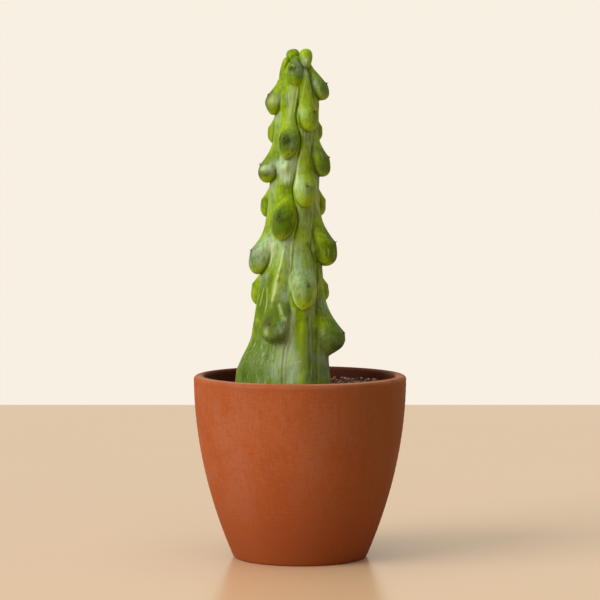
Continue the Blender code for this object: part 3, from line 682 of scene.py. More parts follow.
def potting_mix(settings):
    """Dark, crumbly mix under the granules."""
    mix = Finish("potting_mix")
    crumbs = mix.noise(420.0, 5.0, 0.65)
    colour = mix.mixed(mix.span(crumbs, 0.42, 0.68), settings.dark_grit, settings.brown_grit)
    return mix.made(colour, Normal=mix.bump(crumbs, 0.0006), Roughness=0.95, Specular_IOR_Level=0.10)


def granules(settings):
    """Granules: each has a tone of its own, from wet bark to pale pumice."""
    grit = Finish("granules")
    tone = grit.field("tone")
    grain = grit.noise(1500.0, 3.0, 0.6)
    colour = grit.tinted(
        settings.dark_grit,
        (settings.brown_grit, tone, 0.20, 0.80, 1.0),
        (settings.ruddy_grit, tone, 0.70, 0.95, 1.0),
        (settings.pale_grit, tone, 0.972, 0.985, 1.0),
        (settings.dark_grit, grain, 0.42, 0.70, 0.5),
    )
    return grit.made(colour, Normal=grit.bump(grain, 0.0002), Roughness=0.7, Specular_IOR_Level=0.15)


def cactus_skin(settings):
    """Waxy skin: bright ramps, olive faces, pale bloom under the tubercles and dark, crisp grooves, with
    painted light and shade.
    """
    skin = Finish("cactus_skin")
    height = skin.axes()["Z"]
    blotch = skin.noise(120.0, 4.0, 0.55)
    cloud = skin.noise(260.0, 5.0, 0.62, (1.0, 1.0, 0.6))
    mottle = skin.noise(520.0, 3.0, 0.6, (1.0, 1.0, 0.7))
    streak = skin.noise(700.0, 3.0, 0.6, (1.0, 1.0, 0.16))
    fibre = skin.noise(1300.0, 2.0, 0.5, (1.0, 1.0, 0.10))
    strips = skin.noise(300.0, 5.0, 0.7, (1.0, 1.0, 0.14))
    pores = skin.noise(2400.0)
    # Brighter where the skin is fresh or lit, olive where shaded: the skin's own colour with painted light
    # and shade
    fresh_and_lit = skin.maths("ADD", skin.field("fresh_and_lit"), skin.maths("MULTIPLY_ADD", blotch, 1.6, -0.8))
    fresh_and_lit = skin.maths("ADD", fresh_and_lit, skin.maths("MULTIPLY_ADD", mottle, 1.0, -0.5))
    worn = skin.times(skin.span(height, 0.150, 0.105), 0.5)
    near_soil = skin.times(skin.span(height, 0.145, 0.112), skin.span(fresh_and_lit, 1.1, 0.5), 0.6)
    near_soil = skin.times(near_soil, skin.span(skin.field("fresh_and_lit"), -0.9, 0.1))
    waxy = skin.maths("ADD", cloud, skin.maths("MULTIPLY_ADD", streak, 1.4, -0.35))
    colour = skin.tinted(
        skin.mixed(skin.span(fresh_and_lit, 0.0, 1.05), settings.skin, settings.fresh_and_lit),
        (settings.crest_and_highlight, fibre, 0.59, 0.70, 0.28),
        (settings.skin, fibre, 0.44, 0.32, 0.35),
        (settings.old, cloud, 0.35, 0.65, worn),
        (settings.bloom_and_sheen, strips, 0.52, 0.66, near_soil),
        (settings.skin, strips, 0.48, 0.34, near_soil),
        # Waxy bloom, with painted sheen where light would glance off the wax
        (settings.bloom_and_sheen, waxy, 0.45, 1.15, skin.field("bloom_and_sheen")),
        # Dark areoles, with painted shade beside them and along the tubercles' edges
        (settings.shade_and_areole_skin, cloud, 0.25, 0.55, skin.field("areole_dark_and_shade")),
    )
    speck = skin.times(skin.field("speck"), skin.span(pores, 0.50, 0.62))
    speck = skin.maths("MULTIPLY_ADD", skin.span(pores, 0.68, 0.76), 0.2, speck)
    colour = skin.mixed(speck, colour, settings.frost)
    # Painted highlights on lit ridges and faces, in the pale crest colour
    colour = skin.tinted(colour, (settings.crest_and_highlight, cloud, 0.25, 0.50, skin.field("painted_highlight")))
    # Painted shade in the grooves and under the tubercles' overhanging faces
    colour = skin.mixed(skin.field("painted_shade"), colour, settings.shade_and_areole_skin)
    colour = skin.tinted(colour, (settings.scar, pores, 0.35, 0.6, skin.field("scar")))
    gloss = skin.maths("MINIMUM", skin.times(skin.field("gloss"), skin.span(mottle, 0.30, 0.60)), 1.0)
    rough = skin.maths("MULTIPLY_ADD", gloss, -0.40, skin.maths("MULTIPLY_ADD", cloud, 0.30, 0.37))
    relief = skin.times(cloud, 1.3)
    for fine, share in ((pores, 0.3), (streak, 0.5), (mottle, 0.5)):
        relief = skin.maths("MULTIPLY_ADD", fine, share, relief)
    return skin.made(
        colour, Normal=skin.bump(relief, 0.00025, 0.8), Roughness=rough, Specular_IOR_Level=0.19,
        Specular_Tint=(0.85, 1.0, 0.20, 1.0), Subsurface_Weight=0.10, Subsurface_Radius=(0.35, 0.8, 0.12),
        Subsurface_Scale=0.002,
    )


def areole_fibre(settings):
    """Felt pads and spines, each with a colour of its own and a fine noise."""
    fibre = Finish("areole_fibre")
    colour = fibre.mixed(fibre.field("felt"), settings.spine, settings.wool)
    colour = fibre.tinted(colour, (settings.dark_felt, fibre.noise(1800.0), 0.45, 0.7, 0.6))
    return fibre.made(colour, Roughness=0.8, Specular_IOR_Level=0.1)


def floor_finish(settings):
    """A plain pale floor with a hardly seen cloudiness."""
    floor = Finish("floor")
    darker = [FLOOR_SHADE * level for level in settings.floor]
    colour = floor.mixed(floor.noise(3.0, 3.0), darker, settings.floor)
    return floor.made(colour, Roughness=0.22, Specular_IOR_Level=0.5)


# Values that change with height or place on the stem. z, share and across may be arrays.


def smooth(x, low, high):
    """0 below low, 1 above high, and an even S between them."""
    t = np.clip((x - low) / (high - low), 0.0, 1.0)
    return t * t * (3.0 - 2.0 * t)


def blend(first, second, share):
    """A value between two values."""
    return first + (second - first) * share


def fading(distance, half_width):
    """1 at no distance, and next to nothing two half widths away."""
    return np.exp(-((distance / half_width) ** 2))


def aside_from(middle, bearing, radius):
    """Distance round the stem from one bearing to another."""
    return np.radians((bearing - middle + 180.0) % 360.0 - 180.0) * radius


def between(foot, apex, z):
    """A size that changes evenly from the soil to the apex."""
    return blend(foot, apex, np.clip((z - SOIL_LEVEL) / (STEM_APEX - SOIL_LEVEL), 0.0, 1.0))


def axis_x(z):
    """Where the leaning stem's axis is at a height."""
    return between(STEM_FOOT_X, STEM_FOOT_X + STEM_LEAN_X, z)


def core_radius(z):
    """The core flares to the soil and closes in a full dome at the apex."""
    flare = np.clip((SHOULDER - z) / (SHOULDER - SOIL_LEVEL), 0.0, 1.0)
    dome = np.clip((z - SHOULDER) / (DOME_TOP - SHOULDER), 0.0, 1.0)
    return blend(SHOULDER_RADIUS, FOOT_CORE_RADIUS, flare**FLARE_POWER) * np.sqrt(1.0 - dome**DOME_POWER)


def push_angle(z):
    """Angle above the horizontal, in radians, at which ribs and tubercles stand out of the core."""
    droop = -DROOP * smooth(z, SOIL_LEVEL + EMERGE, SOIL_LEVEL + DROOP_OVER)
    return np.radians(droop + (APEX_LIFT + DROOP) * smooth(z, LIFT_FROM, DOME_TOP))


def rib_bearing(i, z):
    """A rib's bearing at a height."""
    return between(RIBS[i][0], RIBS[i][1], z)


def fullness(i, z):
    """How full a rib is at a height: 1 at a tubercle's widest place."""
    total = 0.0
    for height, size, below, _ in RIBS[i][-1]:
        middle = height - FACE_SHARE * below
        spread = FULLNESS_SPREAD * between(RAMP_FOOT, RAMP_APEX, height)
        total = total + size * fading(z - middle, spread)
    return total


def groove_turn(i, side, z):
    """Angle from a rib's crest to the groove on one side. A groove gives way to the fuller rib."""
    other = (i + side) % len(RIBS)
    turn = side * (rib_bearing(other, z) - rib_bearing(i, z)) % 360.0
    return turn * (0.5 + RIB_SWAY * (fullness(i, z) - fullness(other, z)))


def tubercle(across, under, height, size, below, room, crisp):
    """How far one tubercle stands out of its rib, how far it could, and how near its lower outline is, for
    painted shadow.
    """
    bulge = size * between(BULGE_FOOT, BULGE_APEX, height)
    half_width = between(HALF_WIDTH_FOOT, HALF_WIDTH_APEX, height) * blend(YOUNG_WIDTH_KEPT, 1.0, size)
    full_ramp = between(RAMP_FOOT, RAMP_APEX, height) * size**RAMP_SIZE_POWER
    ramp = min(full_ramp, max(YOUNG_RAMP, STEM_APEX - height))
    curve = blend(YOUNG_CURVE, RAMP_CURVE, ramp / full_ramp)
    low = smooth(height, LOW_FORM_FROM, LOW_FORM_FULL)
    face = blend(FACE_SHARE, LOW_FACE_SHARE, low) * below
    sides = blend(SOFT_SIDE, SIDE_ROUNDING, crisp)
    rounding = blend(RAMP_ROUNDING, sides, smooth(under, -SIDES_FROM * ramp, face))
    underside = blend(UNDERSIDE_ROUNDING, LOW_UNDERSIDE, low)
    rounding = blend(rounding, underside, smooth(under, face, below))
    widening = blend(RAMP_START_WIDTH, 1.0, smooth(under, -ramp, face))
    side = np.maximum(0.0, 1.0 - (across / np.minimum(room, half_width * widening)) ** 2) ** rounding
    upper = bulge * np.clip(1.0 + under / ramp, 0.0, 1.0) ** curve * side
    down = np.maximum(0.0, (under - face) / (below - face))
    power = blend(UNDERSIDE_POWER, LOW_UNDERSIDE_POWER, low)
    ring = (across / np.minimum(room, half_width)) ** 2 + down**power
    lower = bulge * np.maximum(0.0, 1.0 - ring) ** rounding
    outline = fading((np.sqrt(ring) - 1.0) * (below - face), OUTLINE_WIDTH)
    outline = outline * smooth(under, OUTLINE_FROM * face, OUTLINE_FULL * face)
    return np.where(under < face, upper, np.where(under > below, 0.0, lower)), bulge, outline


def wander(turn, z, round_scale, high_scale, seed):
    """Noise that runs round the stem without a seam, drawn out upwards. turn in radians."""
    values = np.empty(turn.shape)
    for index, angle in np.ndenumerate(turn):
        place = (math.cos(angle) * round_scale, math.sin(angle) * round_scale, z[index] * high_scale)
        values[index] = noise.noise(Vector(place) + Vector((seed, 2.0 * seed, 3.0 * seed)))
    return values


def line_distance(bearing, level, radius, line):
    """Distance on the stem from a line through (bearing, height) points."""
    nearest = np.full(level.shape, 1.0)
    for (start, low), (end, high) in zip(line, line[1:]):
        x = aside_from(start, bearing, radius)
        y = level - low
        run = math.radians(end - start) * radius
        rise = high - low
        t = np.clip((x * run + y * rise) / (run**2 + rise**2), 0.0, 1.0)
        nearest = np.minimum(nearest, np.hypot(x - t * run, y - t * rise))
    return nearest


def rib_marks(i, share, level, turns, radius):
    """What a rib's tubercles do at each point: how far they stand out, and how strong their marks are."""
    names = ("rise", "risen", "underside", "painted_shade", "scar", "areole_dark_and_shade")
    marks = {name: np.zeros(share.shape) for name in names}
    start = np.full(share.shape, 1.0)
    for height, size, below, shift in RIBS[i][-1]:
        aside = share - shift
        room = np.radians(np.where(aside > 0, *turns)) * radius
        crisp = np.where(aside > 0, RIBS[i][2], RIBS[i - 1][2])
        across = aside / (1.0 - np.sign(aside) * shift) * room
        under = height - level
        out, bulge, outline = tubercle(np.abs(across), under, height, size, below, room, crisp)
        shown = (out > UNDERSIDE_LEAST) * smooth(under, UNDERSIDE_FROM * below, UNDERSIDE_FULL * below)
        # painted shade in the notch below the areole and to its right
        areole_dark_and_shade = fading(
            np.hypot(across - NOTCH_ASIDE, under - NOTCH_DROP), between(NOTCH_FOOT, NOTCH_APEX, height)
        )
        found = {
            "rise": out,
            "risen": out / bulge,
            "underside": shown,
            # painted shadow along the lower outline, under the overhang
            "painted_shade": OUTLINE_SHADE * outline * smooth(level, OUTLINE_LOW, OUTLINE_HIGH),
            "scar": fading(np.hypot(across, under), SCAR_WIDTH),
            "areole_dark_and_shade": areole_dark_and_shade * (1.0 - NOTCH_FADE * RIB_SKINS[i][0]),
        }
        for name in names:
            marks[name] = np.maximum(marks[name], found[name])
        hollow = fading(np.hypot(across, under + HOLLOW_RAISED), HOLLOW_WIDTH)
        marks["rise"] = marks["rise"] - HOLLOW_DEPTH * size * hollow
        gap = under - below
        start = np.where(gap > -WEB_LAP, np.minimum(start, gap), start)
    return {**marks, "web": fading(np.maximum(start, 0.0), WEB)}


def rib_fields(i, level, bearing, radius, marks):
    """The skin's fields at each point of a rib."""
    face_fresh_and_lit, waxiness = RIB_SKINS[i]
    face = smooth(marks["risen"], FACE_FROM, FACE_FULL)
    fields = {
        "fresh_and_lit": blend(RAMP_FRESHNESS, face_fresh_and_lit, face) + UNDERSIDE_FRESH_AND_GLOW * marks["underside"],
        "bloom_and_sheen": waxiness * (WEB_BLOOM * marks["web"] * (1.0 - face) + FACE_BLOOM * face),
        "areole_dark_and_shade": marks["areole_dark_and_shade"],
        "scar": marks["scar"],
        "painted_highlight": marks["painted_highlight"],
        "painted_shade": marks["painted_shade"],
        "speck": np.zeros(level.shape),
        "gloss": np.zeros(level.shape),
    }
    for name, patches in PATCHES.items():
        for middle, height, half_width, half_height, strength in patches:
            near = fading(aside_from(middle, bearing, radius), half_width)
            fields[name] += strength * near * fading(level - height, half_height)
    return fields


def foot_spread(angle, level):
    """How much farther out the foot reaches on the side that it spreads to."""
    towards = np.maximum(0.0, np.cos(angle - math.radians(SPREAD_BEARING)))
    return SPREAD * towards**2 * smooth(level, SPREAD_FROM, SPREAD_FULL)


def rib_surface(i, shares, z):
    """Points of one rib, a row for each z and a column for each share, and its fields for the skin."""
    share, z = np.meshgrid(shares, z)
    level = np.maximum(z, SOIL_LEVEL + EMERGE)
    crisp = np.where(share > 0, RIBS[i][2], RIBS[i - 1][2])
    turns = (groove_turn(i, 1, level), groove_turn(i, -1, level))
    turn = np.where(share > 0, *turns)
    bearing = rib_bearing(i, level) + share * turn
    mean_radius = core_radius(level) + 0.5 * between(BULGE_FOOT, BULGE_APEX, level)
    marks = rib_marks(i, share, level, turns, mean_radius)
    web = marks["web"]
    sharp = 1.0 - np.abs(share) ** RIB_ROUNDING
    rolled = 0.5 + 0.5 * np.cos(math.pi * share)
    low = blend(1.0, LOW_RIB, smooth(level, LOW_FROM, LOW_FULL))
    out = between(RIB_FOOT, RIB_APEX, level) * low * blend(rolled, sharp, crisp) + marks["rise"]
    other = np.where(share > 0, fullness((i + 1) % len(RIBS), level), fullness(i - 1, level))
    uneven = smooth(np.abs(fullness(i, level) - other), EVEN_FROM, EVEN_TO)
    # The groove deepens the relief and also carries painted shade in the crease
    groove = fading(np.radians(turn) * mean_radius * (1.0 - np.abs(share)), GROOVE_WIDTH) * crisp
    groove = groove * blend(EVEN_GROOVE, 1.0, uneven) * smooth(level, GROOVE_LOW, GROOVE_HIGH)
    round_turn = (i + 0.5 + share / 2.0) * 2.0 * math.pi / len(RIBS)
    pleats, wrinkles, lumps, dents = (wander(round_turn, level, *waves) for waves in WAVES)
    aged = between(1.0, APEX_AGE, level)
    out = out + aged * (PLEAT * pleats + WRINKLE * wrinkles) + WEB_WRINKLE * web * wrinkles
    out = out + LUMP * lumps + DENT * dents - GROOVE_DEPTH * groove
    marks["painted_highlight"] = np.zeros(share.shape)
    marks["painted_shade"] = np.maximum(marks["painted_shade"], GROOVE_SHADE * groove)
    for half_width, raised, paleness, line in LINES:
        near = fading(line_distance(bearing, level, mean_radius, line), half_width)
        out = out + raised * near
        marks["painted_highlight"] = np.maximum(marks["painted_highlight"], paleness * near)
        marks["painted_shade"] = np.maximum(marks["painted_shade"], -paleness * near)
    angle = np.radians(bearing)
    push = push_angle(level)
    radius = core_radius(level) + foot_spread(angle, level) + out * np.cos(push)
    into_end = np.clip((SOIL_LEVEL - STUB_DEPTH + STUB_ROUND - z) / STUB_ROUND, 0.0, 1.0)
    radius = radius * blend(STUB_END_SHARE, 1.0, np.sqrt(1.0 - into_end**2))
    x = axis_x(level) + radius * np.sin(angle)
    points = np.stack((x, -radius * np.cos(angle), z + out * np.sin(push)), axis=-1)
    return points, rib_fields(i, level, bearing, mean_radius, marks)


def knob_surface(root, tip, width, rounding, rings=28, columns=36):
    """Rings of points on a knob that is fuller towards its tip, and its two ends."""
    root, tip = Vector(root), Vector(tip)
    along = (tip - root).normalized()
    aside = along.orthogonal().normalized()
    across = along.cross(aside)
    grid = []
    for t in np.linspace(0.0, math.pi, rings + 2)[1:-1]:
        middle = root.lerp(tip, 0.5 - 0.5 * math.cos(t))
        radius = 0.5 * width * math.sin(t) ** rounding * (1.0 - KNOB_FULLNESS * math.cos(t))
        turns = [2.0 * math.pi * k / columns for k in range(columns)]
        grid.append([middle + radius * (math.cos(a) * aside + math.sin(a) * across) for a in turns])
    return np.array(grid), (root, tip)


def knob_fields(places):
    """The skin's fields at places on the knobs."""
    reach, cheek, glint = (
        np.linalg.norm(places - middle, axis=1) for middle in (KNOB_AREOLE, KNOB_CHEEK, KNOB_GLINT)
    )
    shaded = np.exp(-((cheek / CHEEK_WIDTH) ** 4))
    above = smooth(places[:, 2] - KNOB_AREOLE[2], RIM_FROM, RIM_FULL)
    rim_highlight = above * fading(reach - AREOLE_RIM, AREOLE_RIM_WIDTH)
    fresh_and_lit = np.repeat(KNOB_FRESHNESS, len(places) // len(KNOBS))
    return {
        "fresh_and_lit": fresh_and_lit - 0.5 * shaded + 0.35 * smooth(reach, FRESHER_FROM, FRESHER_FULL),
        "areole_dark_and_shade": 1.9 * fading(reach, KNOB_NOTCH_WIDTH),
        "bloom_and_sheen": 0.35 * shaded + 0.7 * fading(glint, GLINT_WIDTH),
        "painted_highlight": 0.8 * fading(glint, GLINT_CORE) + 0.7 * rim_highlight,
        "speck": 0.5 * shaded * smooth(reach, SPECKS_FROM, SPECKS_FULL),
        "gloss": 0.8 - 0.4 * shaded,
    }


def scene_object(name, points, faces=()):
    """A new object in the scene, with a mesh of its own."""
    mesh = bpy.data.meshes.new(name)
    mesh.from_pydata([tuple(p) for p in points], [], faces)
    made = bpy.data.objects.new(name, mesh)
    bpy.context.scene.collection.objects.link(made)
    return made


def store(made, name, values, kind="FLOAT"):
    """Stores a number or a vector at each point of a mesh."""
    data = made.data.attributes.new(name, kind, "POINT").data
    data.foreach_set("vector" if kind == "FLOAT_VECTOR" else "value", np.ravel(values).astype(np.float32))


def grid_mesh(name, shells):
    """A mesh of closed shells, each given as rings of points and the pole at each end."""
    points, faces = [], []
    for grid, poles in shells:
        rings, columns = grid.shape[:2]
        corner = len(points) + np.arange(rings * columns).reshape(rings, columns)
        right = np.roll(corner, -1, axis=1)
        quads = np.stack((corner[:-1], right[:-1], right[1:], corner[1:]), axis=-1).reshape(-1, 4)
        low = len(points) + rings * columns
        faces += quads.tolist()
        faces += [(low, b, a) for a, b in zip(corner[0].tolist(), right[0].tolist())]
        faces += [(low + 1, a, b) for a, b in zip(corner[-1].tolist(), right[-1].tolist())]
        points += grid.reshape(-1, 3).tolist() + list(poles)
    made = scene_object(name, points, faces)
    made.data.shade_smooth()
    return made


def stem_heights(rings):
    """Heights of the stem's rings, closer together where the stub and the apex round off."""
    bottom = SOIL_LEVEL - STUB_DEPTH
    stub = [bottom + STUB_ROUND * (1.0 - math.cos(math.radians(a))) for a in np.linspace(0, 90, STUB_RINGS)]
    dome = rings // DOME_RINGS
    column = np.linspace(SOIL_LEVEL - COLUMN_DEPTH, SHOULDER, rings - dome)
    angles = np.radians(np.linspace(0, 90, dome + 1)[1:-1])
    return np.array([*stub, *column, *(SHOULDER + (DOME_TOP - SHOULDER) * np.sin(angles))])


def areole_frames():
    """Place, outward direction and size of each areole."""
    frames = []
    step = 0.0008
    for i, (*_, areoles) in enumerate(RIBS):
        for height, size, _, shift in areoles:
            shares = shift + np.array([-0.1, 0.0, 0.1])
            points, _ = rib_surface(i, shares, height + np.array([-step, 0.0, step]))
            aside = Vector(points[1, 2] - points[1, 0])
            along = Vector(points[2, 1] - points[0, 1])
            frames.append((Vector(points[1, 1]), aside.cross(along).normalized(), size))
    frames.append((Vector(KNOB_AREOLE), Vector(KNOB_AREOLE_WAY).normalized(), KNOB_AREOLE_SIZE))
    return frames


def new_tree(name, **inputs):
    """A Geometry Nodes tree and what it is given. An underscore in an input's name stands for a space."""
    tree = bpy.data.node_groups.new(name, "GeometryNodeTree")
    tree.interface.new_socket("Geometry", in_out="INPUT", socket_type="NodeSocketGeometry")
    for label, kind in inputs.items():
        tree.interface.new_socket(label.replace("_", " "), in_out="INPUT", socket_type="NodeSocket" + kind)
    tree.interface.new_socket("Material", in_out="INPUT", socket_type="NodeSocketMaterial")
    tree.interface.new_socket("Geometry", in_out="OUTPUT", socket_type="NodeSocketGeometry")
    return Nodes(tree), tree.nodes.new("NodeGroupInput").outputs


def close_tree(nodes, geometry, material):
    """Ends a tree: real geometry, with its material. Returns the tree."""
    real = nodes.result("GeometryNodeRealizeInstances", {"Geometry": geometry})
    finished = nodes.result("GeometryNodeSetMaterial", {"Geometry": real, "Material": material})
    nodes.tree.links.new(finished, nodes.tree.nodes.new("NodeGroupOutput").inputs[0])
    return nodes.tree


def run_tree(made, tree, values):
    """Runs a tree on an object and keeps the result as its plain mesh."""
    modifier = made.modifiers.new(tree.name, "NODES")
    modifier.node_group = tree
    for socket in tree.interface.items_tree:
        if socket.in_out == "INPUT" and socket.name in values:
            modifier[socket.identifier] = values[socket.name]
    graph = bpy.context.evaluated_depsgraph_get()
    mesh = bpy.data.meshes.new_from_object(
        made.evaluated_get(graph), preserve_all_data_layers=True, depsgraph=graph
    )
    made.modifiers.clear()
    made.data = mesh
    mesh.name = made.name


def outer_radius(z):
    """The pot's outer wall is a parabola that stands upright at the rim."""
    return RIM_RADIUS - (RIM_RADIUS - FOOT_RADIUS) * (1.0 - z / POT_HEIGHT) ** 2


def inner_radius(z):
    """The inner wall stays a wall's thickness inside the outer one."""
    return outer_radius(z) - WALL


def arc(centre, radius, start, end, count):
    """Points on an arc in a turned outline, angles in degrees from +R towards +Z."""
    angles = [math.radians(a) for a in np.linspace(start, end, count + 1)]
    return [(centre[0] + radius * math.cos(a), centre[1] + radius * math.sin(a)) for a in angles]


def pot_outline():
    """Radius and height along the shell, and 1 where it is inside: from the drain hole round to it."""
    edge = FOOT_RECESS_RADIUS - FOOT_RECESS_DEPTH
    drain = DRAIN_RADIUS + DRAIN_ROUND
    outside = arc((drain, FOOT_RECESS_DEPTH + DRAIN_ROUND), DRAIN_ROUND, 180, 270, 3)
    outside += [(r, FOOT_RECESS_DEPTH) for r in np.linspace(DRAIN_RADIUS + CORNER_STEP, edge, 8)]
    outside += [(FOOT_RECESS_RADIUS, 0.0), (FOOT_RECESS_RADIUS + 0.5 * CORNER_STEP, 0.0)]
    foot = FOOT_RECESS_RADIUS + CORNER_STEP
    outside += [(r, 0.0) for r in np.linspace(foot, FOOT_RADIUS - FOOT_ROUND, 4)]
    for z in FOOT_ROUND * (1.0 - np.cos(np.radians(np.linspace(15, 75, 5)))):
        outside.append((outer_radius(z) - FOOT_ROUND + math.sqrt(FOOT_ROUND**2 - (FOOT_ROUND - z) ** 2), z))
    lip_base = POT_HEIGHT - LIP_OUTER_ROUND
    outside += [(outer_radius(z), z) for z in np.linspace(FOOT_ROUND, lip_base, 60)[:-1]]
    outside += arc((outer_radius(lip_base) - LIP_OUTER_ROUND, lip_base), LIP_OUTER_ROUND, 0, 90, 12)
    inner_lip = POT_HEIGHT - LIP_INNER_ROUND
    inside = arc((inner_radius(inner_lip) + LIP_INNER_ROUND, inner_lip), LIP_INNER_ROUND, 90, 180, 7)
    inside += [(inner_radius(z), z) for z in np.linspace(inner_lip, FLOOR, 40)[1:]]
    floor_edge = inner_radius(FLOOR) - 2.0 * CORNER_STEP
    inside += [(r, FLOOR) for r in np.linspace(floor_edge, DRAIN_RADIUS + CORNER_STEP, 7)]
    inside += arc((drain, FLOOR - DRAIN_ROUND), DRAIN_ROUND, 90, 180, 3)
    return [(r, z, 0.0) for r, z in outside] + [(r, z, 1.0) for r, z in inside]


def turned_tree():
    """A tree that turns an outline of points (radius, 0, height) round the upright axis."""
    nodes, given = new_tree("turned_shell", Spokes="Int", Finger_Marks="Float", Ring_Pitch="Float")
    outline = given["Geometry"]
    count = nodes.add("GeometryNodeAttributeDomainSize", {"Geometry": outline}).outputs["Point Count"]
    columns = nodes.maths("ADD", given["Spokes"], 1.0)
    rows = nodes.maths("ADD", count, 1.0)
    size = {"Size X": 1.0, "Size Y": 1.0, "Vertices X": columns, "Vertices Y": rows}
    grid = nodes.result("GeometryNodeMeshGrid", size)
    index = nodes.result("GeometryNodeInputIndex")
    spoke = nodes.maths("FLOOR", nodes.maths("DIVIDE", nodes.maths("ADD", index, 0.5), rows))
    step = nodes.maths("MODULO", nodes.maths("SUBTRACT", index, nodes.times(spoke, rows)), count)
    place = nodes.result("GeometryNodeInputPosition")
    sampled = nodes.sampled(outline, place, step, "FLOAT_VECTOR")
    inside = nodes.sampled(outline, nodes.named("inner"), step, "FLOAT")
    point = nodes.add("ShaderNodeSeparateXYZ", {0: sampled}).outputs
    angle = nodes.times(nodes.maths("DIVIDE", spoke, given["Spokes"]), 2.0 * math.pi)
    wave = nodes.times(nodes.maths("DIVIDE", point["Z"], given["Ring Pitch"]), 2.0 * math.pi)
    marks = nodes.times(nodes.maths("SINE", wave), given["Finger Marks"])
    radius = nodes.maths("SUBTRACT", point["X"], nodes.maths("ADD", marks, given["Finger Marks"]))
    x = nodes.times(radius, nodes.maths("SINE", angle))
    y = nodes.times(radius, -1.0, nodes.maths("COSINE", angle))
    turned = nodes.result("ShaderNodeCombineXYZ", {0: x, 1: y, 2: point["Z"]})
    stored = nodes.stored(grid, "inner", inside, "POINT")
    moved = nodes.result("GeometryNodeSetPosition", {"Geometry": stored, "Position": turned})
    closed = nodes.result("GeometryNodeMergeByDistance", {"Geometry": moved, "Distance": 0.00001})
    smoothed = nodes.result("GeometryNodeSetShadeSmooth", {"Geometry": closed})
    return close_tree(nodes, smoothed, given["Material"])


def grain_tree():
    """A tree that strews granules over a surface, each with a turn, a size and a tone of its own."""
    nodes, given = new_tree(
        "granules", Grain="Float", Spacing="Float", Fine_Grain="Float", Fine_Density="Float", Seed="Int"
    )
    apart = {"Distance Min": given["Spacing"], "Density Max": COARSE_DENSITY}
    coarse, fine = (
        nodes.result(
            "GeometryNodeDistributePointsOnFaces",
            {"Mesh": given["Geometry"], "Seed": given["Seed"], **spread}, distribute_method=method,
        )
        for method, spread in (("POISSON", apart), ("RANDOM", {"Density": given["Fine Density"]}))
    )
    block = nodes.result("GeometryNodeMeshCube", {"Size": (1.0, 1.0, 1.0)})
    rounded = nodes.result("GeometryNodeSubdivisionSurface", {"Mesh": block, "Level": 1})
    pebble = nodes.result("GeometryNodeMeshIcoSphere", {"Radius": 0.5, "Subdivisions": 1})
    layers = []
    sorts = ((coarse, rounded, "Grain"), (fine, pebble, "Fine Grain"))
    for layer, (points, shape, width) in enumerate(sorts):
        turn = nodes.random((0.0, 0.0, 0.0), (GRAIN_TURN, GRAIN_TURN, GRAIN_TURN), 11 + layer)
        share = nodes.random(GRAIN_LEAST, GRAIN_MOST, 21 + layer)
        strewn = nodes.set_on(points, shape, turn, nodes.vector("SCALE", share, Scale=given[width]))
        layers.append(nodes.stored(strewn, "tone", nodes.random(0.0, 1.0, 31 + layer), "INSTANCE"))
    real = nodes.result("GeometryNodeRealizeInstances", {"Geometry": nodes.joined(*layers)})
    place = nodes.result("GeometryNodeInputPosition")
    rough = nodes.add("ShaderNodeTexNoise", {"Vector": place, "Scale": 900.0, "Detail": 1.0}).outputs["Color"]
    shift = nodes.vector("SCALE", nodes.vector("SUBTRACT", rough, (0.5, 0.5, 0.5)), Scale=GRAIN_ROUGHNESS)
    rugged = nodes.result("GeometryNodeSetPosition", {"Geometry": real, "Offset": shift})
    return close_tree(nodes, rugged, given["Material"])


def spine_tree():
    """A tree that sets a felt pad and a few spines, splayed round its outward direction, on each areole."""
    nodes, given = new_tree(
        "spines", Count="Int", Length="Float", Root_Radius="Float", Splay="Float", Sink="Float",
        Pad_Radius="Float", Seed="Int",
    )
    areoles = given["Geometry"]
    repeats = {"Geometry": areoles, "Amount": given["Count"]}
    copies = nodes.result("GeometryNodeDuplicateElements", repeats, domain="POINT")
    outward = nodes.named("outward", "FLOAT_VECTOR")
    size = nodes.named("size")
    lean = nodes.random((-1.0, -1.0, -1.0), (1.0, 1.0, 1.0), given["Seed"])
    way = nodes.vector("ADD", outward, nodes.vector("SCALE", lean, Scale=given["Splay"]))
    cone = nodes.result(
        "GeometryNodeMeshCone",
        {"Vertices": 5, "Radius Top": 0.0, "Radius Bottom": given["Root Radius"], "Depth": given["Length"]},
    )
    drop = nodes.result("ShaderNodeCombineXYZ", {2: nodes.times(given["Sink"], -1.0)})
    rooted = nodes.result("GeometryNodeTransform", {"Geometry": cone, "Translation": drop})
    turn = nodes.upright_along(way)
    upright = nodes.upright_along(outward)
    stood = nodes.set_on(copies, rooted, turn, nodes.times(nodes.random(SPINE_LEAST, 1.0, 5), size))
    ball = nodes.result("GeometryNodeMeshIcoSphere", {"Radius": given["Pad Radius"], "Subdivisions": 3})
    pad = nodes.result("GeometryNodeTransform", {"Geometry": ball, "Scale": (1.0, 1.0, PAD_FLATNESS)})
    felted = nodes.stored(nodes.set_on(areoles, pad, upright, size), "felt", 1.0, "INSTANCE")
    return close_tree(nodes, nodes.joined(felted, stood), given["Material"])


class CACTUS_OT_pot(bpy.types.Operator):
    """Turn the clay pot"""

    bl_idname = "cactus.pot"
    bl_label = "Clay Pot"

    def execute(self, context):
        settings = context.scene.cactus_pot
        outline = pot_outline()
        pot = scene_object("clay_pot", [(r, 0.0, z) for r, z, _ in outline])
        store(pot, "inner", [inside for _, _, inside in outline])
        values = {
            "Spokes": settings.spokes, "Finger Marks": settings.finger_marks, "Ring Pitch": RING_PITCH,
            "Material": terracotta(settings),
        }
        run_tree(pot, turned_tree(), values)
        point_outward(pot)
        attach(pot, "root")
        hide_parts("pot")
        return {"FINISHED"}


